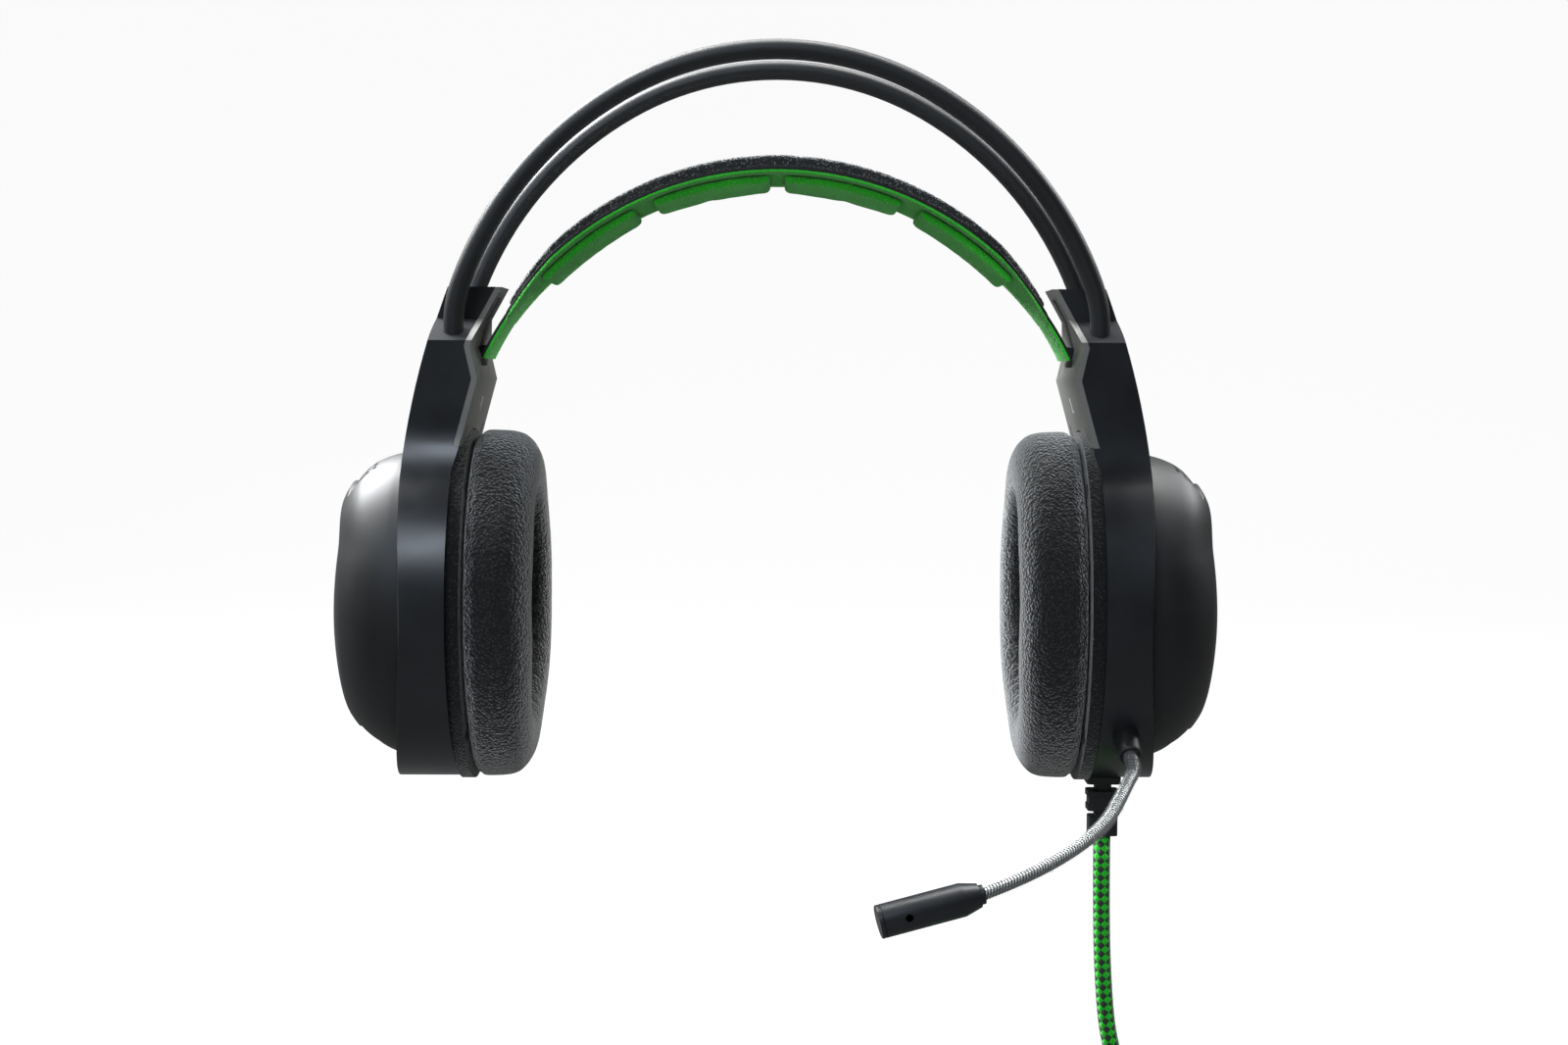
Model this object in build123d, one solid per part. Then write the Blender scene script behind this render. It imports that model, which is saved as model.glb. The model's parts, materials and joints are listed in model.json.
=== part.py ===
from build123d import *
import os
from math import cos, radians, sin, sqrt, tan

# Over-ear gaming headset with a two-tube headband, a suspended head pad and a gooseneck microphone.
# Millimetres. The origin is midway between the ear cushions on the axis through both ears.
# +X points to the wearer's left ear, +Z up, and the wearer faces -Y.
# Every piece of a cup is drawn on the +X side. The other side is its mirror image.

os.makedirs("parts", exist_ok=True)

# ---- Driving dimensions ----
FIT = 0.1            # clearance between moulded pieces that slide together at assembly
SLIDE_GAP = 0.4      # clearance round a piece that moves

# Headband tubes: half a bow is three arcs, from the crown down to an upright leg
TUBE_DIAMETER = 5.6
TUBE_WALL = 0.8
CROWN_HEIGHT = 155.1
CROWN_RADIUS = 86.7
SHOULDER_RADIUS = 102.2
HIP_RADIUS = 35.0
CROWN_ANGLE = 30.0
SHOULDER_ANGLE = 39.0
TUBE_HALF_SPACING = 15.8     # at the height of SPLAY_HEIGHT
SPLAY_HEIGHT = 80.0
SPLAY_ANGLE = 3.7
LEAD_DIAMETER = 2.2

# Arm and ring housing
SHELL_WALL = 2.0
OUTER_FACE_X = 107.3
OUTER_FACE_BOW = 145.0       # radius of the outer face round a vertical axis
ARM_CURVE_RADIUS = 220.0     # radius of the outer face where the arm leans in
ARM_CURVE_START = 12.0
ARM_CURVE_ANGLE = 24.0
RING_HALF_DEPTH = 40.0
RING_HALF_HEIGHT = 49.2
RING_INNER_X = 89.5
ARM_HALF_WIDTH = 21.3
FLARE_RADIUS = 28.0
LEDGE_LOW = 75.2
LEDGE_HIGH = 81.6
BLOCK_HALF_WIDTH = 8.5
BLOCK_TOP = 90.4
# Inner face of the arm from the top of the block down to the ring, as (x, z)
ARM_INNER_FACE = [(77.4, 90.4), (82.4, 81.4), (84.6, 73.5), (82.6, 64.6), (86.6, 50.0)]

# Inner cover of the arm, with the slot of the strap slider
COVER_THICKNESS = 1.8
COVER_LOW = 46.0
NOTCH_HALF_WIDTH = 6.0
NOTCH_HEIGHT = 2.0
SLIT_WIDTH = 1.3
SLIT_LOW = 47.5
SLIT_HEIGHT = 4.2
SLIT_Y = 16.0

# Dome cover: ovals as (x, centre z, half height)
DOME_OVALS = [(106.0, 0.3, 43.2), (110.3, 0.2, 42.1), (114.7, 0.0, 39.4), (118.8, -0.4, 35.0),
              (122.3, -1.0, 29.2), (124.7, -1.6, 22.8), (126.1, -2.2, 16.0), (126.75, -2.6, 9.0),
              (126.95, -2.9, 3.0)]
DOME_DEPTH_RATIO = 0.783
DOME_SKIRT_X = 99.8
DOME_WALL = 1.8
SCOOP_START_X = 108.0
SCOOP_SLOPE = 0.16           # depth of the vent scoop per millimetre of x
SCOOP_HALF_WIDTH = 13.0
SCOOP_LIP_HALF_HEIGHT = 35.4
SCOOP_LIP_HALF_DEPTH = 27.5
SCOOP_LOWEST = 12.0          # the scoops stay this far above and below the ear axis
VENT_HOLE_DIAMETER = 1.3
VENT_PITCH = 2.2
VENT_ROWS = 4
VENT_COLUMNS = 9
VENT_TILT = 47.0             # lean of the vent holes from +X towards +Z
VENT_MIDDLE_X = 113.9
VENT_DRILL_HALF_LENGTH = 4.5
CLOTH_THICKNESS = 0.4
CLOTH_DEPTH = 8.0
CLOTH_LOWEST = 20.0

# Baffle, driver and cushion
BAFFLE_THICKNESS = 2.0
DRIVER_RADIUS = 20.0
DRIVER_DEPTH = 6.0
DIAPHRAGM_RADIUS = 17.0
DIAPHRAGM_THICKNESS = 0.6
MAGNET_RADIUS = 9.5
MAGNET_DEPTH = 5.0
GRILLE_HOLE_DIAMETER = 3.0
GRILLE_RINGS = [(6, 6.0), (12, 12.0)]
PLATE_THICKNESS = 3.5
PLATE_HALF_DEPTH = 37.6
PLATE_HALF_HEIGHT = 50.0
EAR_HALF_DEPTH = 19.0
EAR_HALF_HEIGHT = 30.0
CUSHION_THICKNESS = 20.2
CUSHION_HALF_DEPTH = 37.5
CUSHION_HALF_HEIGHT = 50.4
CUSHION_OUTER_ROUND = 9.5
CUSHION_INNER_ROUND = 6.5
SCRIM_THICKNESS = 0.6

# Fasteners
CUP_SCREW_DIAMETER = 2.0
CUP_SCREW_HEAD = 3.8
CUP_SCREW_HEAD_HEIGHT = 1.6
CUP_SCREW_LENGTH = 9.0
CUP_BOSS_DIAMETER = 4.0
CUP_BOSS_ANGLE = 50.0
CLAMP_SCREW_DIAMETER = 2.5
CLAMP_SCREW_HEAD = 4.4
CLAMP_SCREW_HEAD_HEIGHT = 1.5
CLAMP_SCREW_THREAD = 3.0     # length of thread in the post
CLAMP_SCREW_Y = 8.2
CLAMP_BOSS_DIAMETER = 5.6

# Tube clamp in the arm
CLAMP_LOW = 61.0
CLAMP_HIGH = 68.0
CLAMP_INNER_X = 86.0
CLAMP_OUTER_X = 97.0
CLAMP_GAP_HALF_WIDTH = 4.5
CLAMP_BRIDGE_X = 93.6

# Suspended head pad: two circles in the plane of the bow, as (centre z, radius)
PAD_TOP_CENTRE = 35.4
PAD_TOP_RADIUS = 90.7
STRAP_CENTRE = 30.4
STRAP_RADIUS = 92.5
STIFFENER_THICKNESS = 0.8
LINER_THICKNESS = 0.8
PAD_HALF_WIDTH = 24.0
PAD_TAPER_X = 62.0
PAD_END_X = 76.0
PAD_END_HALF_WIDTH = 11.5
PAD_CORNER_ROUND = 2.0
COVER_END_X = 75.0
SEGMENT_THICKNESS = 2.8
SEGMENT_ROUND = 1.5
SEGMENT_HALF_WIDTH = 17.5
SEGMENT_SPANS = [(1.6, 35.2), (39.2, 66.0)]

# Strap slider and its elastic cord
STRAP_END_HALF_WIDTH = 10.5
STRAP_END_GAP = 1.5
STRAP_END_LOW = 70.9
SLIDER_TRAVEL = 13.0
SLIDER_NECK_LOW = 70.8
SLIDER_NECK_HIGH = 74.2
SLIDER_NECK_HALF_WIDTH = 2.4
SLIDER_NECK_X = 81.5
SLIDER_FOOT_X = 88.4
SLIDER_FOOT_THICKNESS = 1.5
SLIDER_FOOT_LOW = 69.7
SLIDER_FOOT_HIGH = 74.9
SLIDER_FOOT_HALF_WIDTH = 5.5
ELASTIC_DIAMETER = 2.2
ELASTIC_LOW = 52.0
ANCHOR_HEIGHT = 3.0
ANCHOR_HALF_WIDTH = 3.0

# Microphone: boot mouth, hinge points of the gooseneck, and the tip of the capsule
BOOT_MOUTH = (96.6, -37.0, -37.3)
BOOT_AXIS = (0.02, -0.84, -0.54)
BOOT_LENGTH = 12.0
BOOT_ROOT_RADIUS = 3.8
BOOT_MOUTH_RADIUS = 3.15
BOOT_SPIGOT_RADIUS = 3.0
BOOT_SPIGOT_LENGTH = 14.0
GOOSENECK_RADIUS = 2.0
FIRST_PIVOT_FROM_MOUTH = 3.0
LATER_PIVOTS = [(93.6, -49.0, -44.0), (86.0, -61.5, -50.8), (75.5, -72.0, -56.6), (63.5, -79.2, -60.9)]
PIVOT_GAP = 1.0
PIVOT_BALL_RADIUS = 1.5
PIVOT_CLEARANCE = 0.15
GOOSENECK_END = (52.6, -83.5, -64.2)
CAPSULE_TIP = (25.9, -87.0, -70.6)
CAPSULE_RADIUS = 4.3
CAPSULE_WALL = 0.9
CAPSULE_NECK_RADIUS = 3.1
CAPSULE_NECK_LENGTH = 4.5
CAPSULE_CAP = 1.2
SOUND_HOLE_DIAMETER = 2.0
SOUND_HOLE_FROM_TIP = 8.0
FERRULE_RADIUS = 2.5
FERRULE_LENGTH = 1.2
ELEMENT_RADIUS = 3.0
ELEMENT_LENGTH = 4.0

# Junction board behind the left driver
BOARD_HALF_DEPTH = 12.0
BOARD_HALF_HEIGHT = 9.0
BOARD_THICKNESS = 1.2

# Strain relief under the left cup: blocks as (height, width, depth), from the cup down
RELIEF_X = 94.8
RELIEF_BLOCKS = [(2.1, 9.8, 7.6), (2.0, 4.8, 4.8), (1.7, 9.4, 7.4), (2.4, 8.6, 6.8),
                 (1.7, 9.2, 7.2), (1.8, 4.8, 4.8), (5.5, 8.3, 7.0)]
RELIEF_ROUND = 1.2
RELIEF_ROOT_RADIUS = 3.2
RELIEF_ROOT_LENGTH = 3.0

# Cord: route of the tube from the strain relief to the coil, then the coil and the plug
CORD_DIAMETER = 5.0
CORD_ROUTE = [(94.8, 0.0, -66.4), (94.8, 0.0, -91.5), (96.2, 0.0, -117.0), (99.6, 0.0, -140.0)]
COIL_RADIUS = 27.5
COIL_SECTION_RADIUS = 7.5
TIE_THICKNESS = 0.8
TIE_ANGLE = 18.0
TIE_PLACE = 55.0             # from +X towards +Z, beside the place where the cord comes in
PLUG_TAIL = 24.0
PLUG_RADIUS = 3.7
PLUG_LENGTH = 21.0
PLUG_BOOT_RADIUS = 3.1
PLUG_BOOT_LENGTH = 9.0
CONTACT_RADIUS = 1.75
CONTACT_LENGTH = 14.0
CONTACT_TIP = 1.5

# ---- Sizes that follow from them ----
TUBE_RADIUS = TUBE_DIAMETER / 2
HIP_ANGLE = 90.0 - CROWN_ANGLE - SHOULDER_ANGLE
SECOND_ANGLE = CROWN_ANGLE + SHOULDER_ANGLE
LEG_X = (CROWN_RADIUS * sin(radians(CROWN_ANGLE))
         + SHOULDER_RADIUS * (sin(radians(SECOND_ANGLE)) - sin(radians(CROWN_ANGLE)))
         + HIP_RADIUS * (1 - sin(radians(SECOND_ANGLE))))
LEG_TOP = (CROWN_HEIGHT - CROWN_RADIUS * (1 - cos(radians(CROWN_ANGLE)))
           - SHOULDER_RADIUS * (cos(radians(CROWN_ANGLE)) - cos(radians(SECOND_ANGLE)))
           - HIP_RADIUS * cos(radians(SECOND_ANGLE)))
LEG_BOTTOM = CLAMP_LOW
PLATE_INNER_X = RING_INNER_X - PLATE_THICKNESS
CUSHION_INNER_X = PLATE_INNER_X - CUSHION_THICKNESS
BAFFLE_OUTER_X = RING_INNER_X + BAFFLE_THICKNESS
MAGNET_X = BAFFLE_OUTER_X + DRIVER_DEPTH
BOARD_X = MAGNET_X + MAGNET_DEPTH
LINER_RADIUS = STRAP_RADIUS - STIFFENER_THICKNESS
SEGMENT_RADIUS = LINER_RADIUS - LINER_THICKNESS
RELIEF_TOP = -RING_HALF_HEIGHT
CORD_RADIUS = CORD_DIAMETER / 2
FIRST_PIVOT = Vector(BOOT_MOUTH) + Vector(BOOT_AXIS).normalized() * FIRST_PIVOT_FROM_MOUTH
PIVOTS = [tuple(FIRST_PIVOT)] + LATER_PIVOTS
COIL_CENTRE = Vector(CORD_ROUTE[-1]) - Vector(0, 0, COIL_RADIUS + COIL_SECTION_RADIUS)
FAR = 200.0          # longer than any piece, for cutting solids
SIDES = {"left": 1, "right": -1}


def save(name, shape, side=1):
    """Write one node, mirrored for the right-hand side."""
    placed = shape if side > 0 else mirror(shape, about=Plane.YZ)
    solids = placed.solids()
    body = solids[0] if len(solids) == 1 else Compound(children=list(solids))
    export_step(body, f"parts/{name}.step")


def both_sides(shape):
    return Compound(children=list(shape.solids()) + list(mirror(shape, about=Plane.YZ).solids()))


def oval(half_depth, half_height, x_low, x_high, centre_z=0.0):
    """An upright oval block between two planes across X."""
    plane = Plane(origin=(x_low, 0, centre_z), x_dir=(0, 1, 0), z_dir=(1, 0, 0))
    return extrude(plane * Ellipse(half_depth, half_height), x_high - x_low)


def block(x_low, x_high, y_low, y_high, z_low, z_high):
    centre = ((x_low + x_high) / 2, (y_low + y_high) / 2, (z_low + z_high) / 2)
    return Pos(*centre) * Box(x_high - x_low, y_high - y_low, z_high - z_low)


def rod(start, end, radius, end_radius=None):
    """A round bar or cone between two points."""
    direction = Vector(end) - Vector(start)
    plane = Plane(origin=start, z_dir=direction)
    if end_radius is None:
        return extrude(plane * Circle(radius), direction.length)
    far_plane = Plane(origin=end, x_dir=plane.x_dir, z_dir=direction)
    return loft([plane * Circle(radius), far_plane * Circle(end_radius)])


def along(point, direction, distance):
    return Vector(point) + Vector(direction).normalized() * distance


# ---- Headband tubes ----
def bow_path():
    """Centre line of a tube, flat in the XZ plane, from the right leg over the crown to the left."""
    right_leg = Line((-LEG_X, LEG_BOTTOM), (-LEG_X, LEG_TOP))
    pieces = [right_leg]
    turns = [(HIP_RADIUS, HIP_ANGLE), (SHOULDER_RADIUS, SHOULDER_ANGLE), (CROWN_RADIUS, 2 * CROWN_ANGLE),
             (SHOULDER_RADIUS, SHOULDER_ANGLE), (HIP_RADIUS, HIP_ANGLE)]
    for radius, angle in turns:
        last = pieces[-1]
        pieces.append(JernArc(start=last @ 1, tangent=last % 1, radius=radius, arc_size=-angle))
    pieces.append(Line(pieces[-1] @ 1, (LEG_X, LEG_BOTTOM)))
    return Plane.XZ * Wire([edge for piece in pieces for edge in piece.edges()])


def bow_bar(radius):
    path = bow_path()
    return sweep(Plane(origin=path @ 0, z_dir=path % 0) * Circle(radius), path=path)


def splayed(shape, side_y):
    """Lean a bow out to the front (-1) or the rear (+1)."""
    tilt = Pos(0, 0, SPLAY_HEIGHT) * Rot(-side_y * SPLAY_ANGLE, 0, 0) * Pos(0, 0, -SPLAY_HEIGHT)
    return Pos(0, side_y * TUBE_HALF_SPACING, 0) * tilt * shape


def bow_tube(side_y):
    return splayed(bow_bar(TUBE_RADIUS) - bow_bar(TUBE_RADIUS - TUBE_WALL), side_y)


def tube_holes():
    """Room for both legs in the arm on the +X side."""
    bar = bow_bar(TUBE_RADIUS + FIT / 2)
    half = block(0, FAR, -FAR, FAR, 0, LEG_TOP + HIP_RADIUS / 2)
    return splayed(bar & half, -1) + splayed(bar & half, 1)


# ---- Arm and ring housing ----
def arm_outline(inset):
    """Side view of the arm and ring, `inset` inside its edge."""
    width, top = ARM_HALF_WIDTH - inset, BLOCK_TOP - inset
    ledge = BLOCK_HALF_WIDTH - inset
    half = [(width, 0), (width, LEDGE_LOW - inset), (ledge, LEDGE_HIGH - inset), (ledge, top)]
    points = half + [(-y, z) for y, z in reversed(half)]
    ring = Ellipse(RING_HALF_DEPTH - inset, RING_HALF_HEIGHT - inset)
    shape = ring + make_face(Polyline(*points, close=True))
    corners = [v for v in shape.vertices() if abs(abs(v.X) - width) < 0.01 and 0 < v.Y < RING_HALF_HEIGHT]
    return fillet(corners, FLARE_RADIUS + inset)


def outer_face(inset):
    """Everything inside the bowed outer face, as a solid of revolution round an upright axis."""
    axis_x = OUTER_FACE_X - OUTER_FACE_BOW
    radius = OUTER_FACE_BOW - inset
    curve_radius = ARM_CURVE_RADIUS - inset
    lean = CenterArc((radius - curve_radius, ARM_CURVE_START), curve_radius, 0, ARM_CURVE_ANGLE)
    top = lean @ 1
    outline = Polyline((radius, ARM_CURVE_START), (radius, -FAR / 2), (0, -FAR / 2), (0, top.Y),
                       (top.X, top.Y))
    profile = make_face(lean.edges() + outline.edges())
    return Pos(axis_x, 0, 0) * revolve(Plane.XZ * profile, axis=Axis.Z)


def beyond_inner_face(shift):
    """Everything outboard of the arm's inner face moved outwards by `shift`."""
    (x0, z0), (x1, z1) = ARM_INNER_FACE[:2]
    rise = FAR / 10
    top = (x0 - rise * (x1 - x0) / (z0 - z1), z0 + rise)
    (x2, z2), (x3, z3) = ARM_INNER_FACE[-2:]
    foot_z = z3 - (RING_INNER_X - x3) * (z2 - z3) / (x3 - x2)
    points = [top] + ARM_INNER_FACE + [(RING_INNER_X, foot_z), (RING_INNER_X, -FAR / 2)]
    moved = [(x + shift, z) for x, z in points]
    outline = moved + [(FAR, -FAR / 2), (FAR, z0 + rise)]
    return extrude(Plane.XZ * make_face(Polyline(*outline, close=True)), FAR / 2, both=True)


def arm_block(inset=0.0, shift=0.0):
    side_view = Plane(origin=(0, 0, 0), x_dir=(0, 1, 0), z_dir=(1, 0, 0)) * arm_outline(inset)
    return extrude(side_view, FAR) & outer_face(inset) & beyond_inner_face(shift)


def plate_room():
    """The oval the cushion plate takes up at the foot of the arm."""
    return oval(PLATE_HALF_DEPTH + SLIDE_GAP, PLATE_HALF_HEIGHT + SLIDE_GAP, 0, RING_INNER_X)


def boss_places():
    """Centres of the four cup screws, as (y, z)."""
    middle_y = (RING_HALF_DEPTH - SHELL_WALL + DOME_OVALS[0][2] * DOME_DEPTH_RATIO) / 2
    middle_z = (RING_HALF_HEIGHT - SHELL_WALL + DOME_OVALS[0][2]) / 2
    y, z = middle_y * cos(radians(CUP_BOSS_ANGLE)), middle_z * sin(radians(CUP_BOSS_ANGLE))
    return [(sy * y, sz * z) for sy in (1, -1) for sz in (1, -1)]


def clamp_screw_rods(radius, x_low, x_high):
    z = (CLAMP_LOW + CLAMP_HIGH) / 2
    bars = [rod((x_low, s * CLAMP_SCREW_Y, z), (x_high, s * CLAMP_SCREW_Y, z), radius) for s in (1, -1)]
    return bars[0] + bars[1]


def cup_screw_rods(radius, x_low, x_high):
    bars = [rod((x_low, y, z), (x_high, y, z), radius) for y, z in boss_places()]
    return bars[0] + bars[1:]


def cavity():
    return extrude(Plane(origin=(0, 0, 0), x_dir=(0, 1, 0), z_dir=(1, 0, 0)) * arm_outline(SHELL_WALL),
                   FAR) & outer_face(SHELL_WALL)


def cover_band():
    """The layer that the inner cover takes from the arm."""
    band = arm_block() - beyond_inner_face(COVER_THICKNESS)
    return (band & block(0, FAR, -FAR, FAR, COVER_LOW, FAR)) - plate_room()


def arm_housing(side):
    solid, room, whole = arm_block(), cavity(), arm_block(SHELL_WALL / 2)
    shell = solid - room - plate_room() - cover_band()
    bosses = cup_screw_rods(CUP_BOSS_DIAMETER / 2, BAFFLE_OUTER_X, FAR) & whole
    posts = clamp_screw_rods(CLAMP_BOSS_DIAMETER / 2, CLAMP_OUTER_X, FAR) & whole
    shell = shell + bosses + posts - tube_holes()
    middle_z, half_height = DOME_OVALS[0][1], DOME_OVALS[0][2]
    shell -= oval(half_height * DOME_DEPTH_RATIO, half_height, BAFFLE_OUTER_X, FAR, middle_z)
    shell -= cup_screw_rods(CUP_SCREW_DIAMETER / 2, RING_INNER_X, PLATE_INNER_X + CUP_SCREW_LENGTH + 2)
    shell -= clamp_screw_rods(CLAMP_SCREW_DIAMETER / 2, CLAMP_OUTER_X, CLAMP_OUTER_X + CLAMP_SCREW_THREAD)
    if side > 0:
        shell -= rod(along(BOOT_MOUTH, BOOT_AXIS, -BOOT_SPIGOT_LENGTH), BOOT_MOUTH, BOOT_SPIGOT_RADIUS)
        shell -= rod((RELIEF_X, 0, RELIEF_TOP - 1), (RELIEF_X, 0, RELIEF_TOP + RELIEF_ROOT_LENGTH + 1),
                     RELIEF_ROOT_RADIUS)
    return shell


def inner_cover():
    cover = cover_band() - tube_holes()
    slot_half = SLIDER_NECK_HALF_WIDTH + SLIDE_GAP
    slot_low = SLIDER_NECK_LOW - SLIDE_GAP
    slot_high = SLIDER_NECK_HIGH + SLIDER_TRAVEL + SLIDE_GAP
    cover -= block(0, FAR, -slot_half, slot_half, slot_low, slot_high)
    cover -= block(0, FAR, -NOTCH_HALF_WIDTH, NOTCH_HALF_WIDTH, slot_low - NOTCH_HEIGHT, slot_low)
    for y in (SLIT_Y, -SLIT_Y):
        cover -= block(0, FAR, y - SLIT_WIDTH / 2, y + SLIT_WIDTH / 2, SLIT_LOW, SLIT_LOW + SLIT_HEIGHT)
    anchor = block(ARM_INNER_FACE[-1][0], SLIDER_FOOT_X + SLIDER_FOOT_THICKNESS, -ANCHOR_HALF_WIDTH,
                   ANCHOR_HALF_WIDTH, ELASTIC_LOW - ANCHOR_HEIGHT, ELASTIC_LOW)
    return cover + (anchor & beyond_inner_face(COVER_THICKNESS / 2) & cavity()) - plate_room()


def tube_clamp():
    body = block(CLAMP_INNER_X, CLAMP_OUTER_X, -ARM_HALF_WIDTH, ARM_HALF_WIDTH, CLAMP_LOW, CLAMP_HIGH)
    gap = block(0, CLAMP_BRIDGE_X, -CLAMP_GAP_HALF_WIDTH, CLAMP_GAP_HALF_WIDTH, CLAMP_LOW, CLAMP_HIGH)
    width = ARM_HALF_WIDTH - SHELL_WALL - FIT
    body = body & block(0, FAR, -width, width, CLAMP_LOW, CLAMP_HIGH) & outer_face(SHELL_WALL + FIT)
    body -= clamp_screw_rods(CLAMP_SCREW_HEAD / 2 + FIT, 0, CLAMP_INNER_X + CLAMP_SCREW_HEAD_HEIGHT)
    return body - gap - tube_holes() - clamp_screw_rods(CLAMP_SCREW_DIAMETER / 2 + FIT, 0, FAR)


def clamp_screws():
    """Pan-head screws, each with its length of thread in the housing's post."""
    under_head = CLAMP_INNER_X + CLAMP_SCREW_HEAD_HEIGHT
    heads = clamp_screw_rods(CLAMP_SCREW_HEAD / 2, CLAMP_INNER_X, under_head)
    return heads + clamp_screw_rods(CLAMP_SCREW_DIAMETER / 2, under_head, CLAMP_OUTER_X + CLAMP_SCREW_THREAD)


# ---- Dome cover ----
def dome_body(inset, slope=0.0):
    """The dome as a solid, `inset` under its surface, and deeper by `slope` per millimetre outwards."""
    faces = []
    for x, z, half_height in DOME_OVALS:
        sunk = inset + slope * max(0.0, x - SCOOP_START_X)
        half = max(half_height - sunk, 2.0)
        plane = Plane(origin=(x - inset, 0, z), x_dir=(0, 1, 0), z_dir=(1, 0, 0))
        faces.append(plane * Ellipse(half_height * DOME_DEPTH_RATIO * half / half_height, half))
    return loft(faces)


def scoop_rooms(grow):
    """Room over the upper and the lower vent, up to the lip, `grow` larger all round."""
    width = SCOOP_HALF_WIDTH + grow
    first, last = SCOOP_START_X - DOME_WALL, DOME_OVALS[4][0]
    lip = oval(SCOOP_LIP_HALF_DEPTH - grow, SCOOP_LIP_HALF_HEIGHT - grow, 0, FAR)
    upper = block(first, last, -width, width, SCOOP_LOWEST, FAR) - lip
    lower = block(first, last, -width, width, -FAR, -SCOOP_LOWEST) - lip
    return upper + lower


def scooped_dome(inset):
    recess = scoop_rooms(inset) - dome_body(inset, SCOOP_SLOPE)
    return dome_body(inset) - recess


def vent_drills():
    """One bar for each vent hole of the upper and the lower scoop."""
    lean = radians(VENT_TILT)
    outward = Vector(cos(lean), 0, sin(lean))
    slope = Vector(sin(lean), 0, -cos(lean))
    middle = Vector(VENT_MIDDLE_X, 0, DOME_OVALS[2][2] - 1.0)
    bars = []
    for row in range(VENT_ROWS):
        for column in range(VENT_COLUMNS):
            y = (column - (VENT_COLUMNS - 1) / 2) * VENT_PITCH
            sag = middle.Z * (1 - sqrt(1 - (y / (DOME_OVALS[2][2] * DOME_DEPTH_RATIO)) ** 2))
            place = middle + slope * ((row - (VENT_ROWS - 1) / 2) * VENT_PITCH) + Vector(0, y, -sag)
            reach = outward * VENT_DRILL_HALF_LENGTH
            upper = rod(place - reach, place + reach, VENT_HOLE_DIAMETER / 2)
            bars += [upper, mirror(upper, about=Plane.XY)]
    return bars


def dome_cover():
    x, z, half_height = DOME_OVALS[0]
    skirt = oval(half_height * DOME_DEPTH_RATIO, half_height, DOME_SKIRT_X, x, z)
    hollow_half = half_height - DOME_WALL
    skirt -= oval(half_height * DOME_DEPTH_RATIO - DOME_WALL, hollow_half, DOME_SKIRT_X, x, z)
    shell = scooped_dome(0) - scooped_dome(DOME_WALL)
    return skirt + shell - vent_drills()


def vent_cloth():
    """Two sheets of cloth against the inside of the vents."""
    front = scooped_dome(DOME_WALL)
    rear = scooped_dome(DOME_WALL + CLOTH_THICKNESS)
    width = SCOOP_HALF_WIDTH - 1
    start = SCOOP_START_X + 1
    upper = block(start, start + CLOTH_DEPTH, -width, width, CLOTH_LOWEST, FAR)
    lower = block(start, start + CLOTH_DEPTH, -width, width, -FAR, -CLOTH_LOWEST)
    return (front - rear) & (upper + lower)


# ---- Baffle, driver and cushion ----
def baffle():
    inset = SHELL_WALL + FIT
    plate = oval(RING_HALF_DEPTH - inset, RING_HALF_HEIGHT - inset, RING_INNER_X, BAFFLE_OUTER_X)
    holes = [Pos(0, 0)] + [place for count, radius in GRILLE_RINGS for place in PolarLocations(radius, count)]
    face = Plane(origin=(RING_INNER_X, 0, 0), x_dir=(0, 1, 0), z_dir=(1, 0, 0))
    for place in holes:
        plate -= extrude(face * place * Circle(GRILLE_HOLE_DIAMETER / 2), BAFFLE_THICKNESS)
    return plate - cup_screw_rods(CUP_SCREW_DIAMETER / 2 + FIT, 0, FAR)


def driver_basket():
    cup = rod((BAFFLE_OUTER_X, 0, 0), (MAGNET_X, 0, 0), DRIVER_RADIUS)
    hollow = rod((BAFFLE_OUTER_X, 0, 0), (MAGNET_X - 1, 0, 0), DIAPHRAGM_RADIUS + FIT)
    return cup - hollow


def diaphragm():
    return rod((BAFFLE_OUTER_X, 0, 0), (BAFFLE_OUTER_X + DIAPHRAGM_THICKNESS, 0, 0), DIAPHRAGM_RADIUS)


def magnet():
    return rod((MAGNET_X, 0, 0), (BOARD_X, 0, 0), MAGNET_RADIUS)


def cushion_plate():
    ring = oval(PLATE_HALF_DEPTH, PLATE_HALF_HEIGHT, PLATE_INNER_X, RING_INNER_X)
    ring -= oval(EAR_HALF_DEPTH, EAR_HALF_HEIGHT, PLATE_INNER_X, RING_INNER_X)
    ring -= cup_screw_rods(CUP_SCREW_DIAMETER / 2 + FIT, 0, FAR)
    return ring - cup_screw_rods(CUP_SCREW_HEAD / 2 + FIT, 0, PLATE_INNER_X + CUP_SCREW_HEAD_HEIGHT)


def cup_screws():
    under_head = PLATE_INNER_X + CUP_SCREW_HEAD_HEIGHT
    heads = cup_screw_rods(CUP_SCREW_HEAD / 2, PLATE_INNER_X, under_head)
    return heads + cup_screw_rods(CUP_SCREW_DIAMETER / 2, under_head, PLATE_INNER_X + CUP_SCREW_LENGTH)


def scrim():
    return oval(EAR_HALF_DEPTH, EAR_HALF_HEIGHT, RING_INNER_X - SCRIM_THICKNESS, RING_INNER_X)


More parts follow.
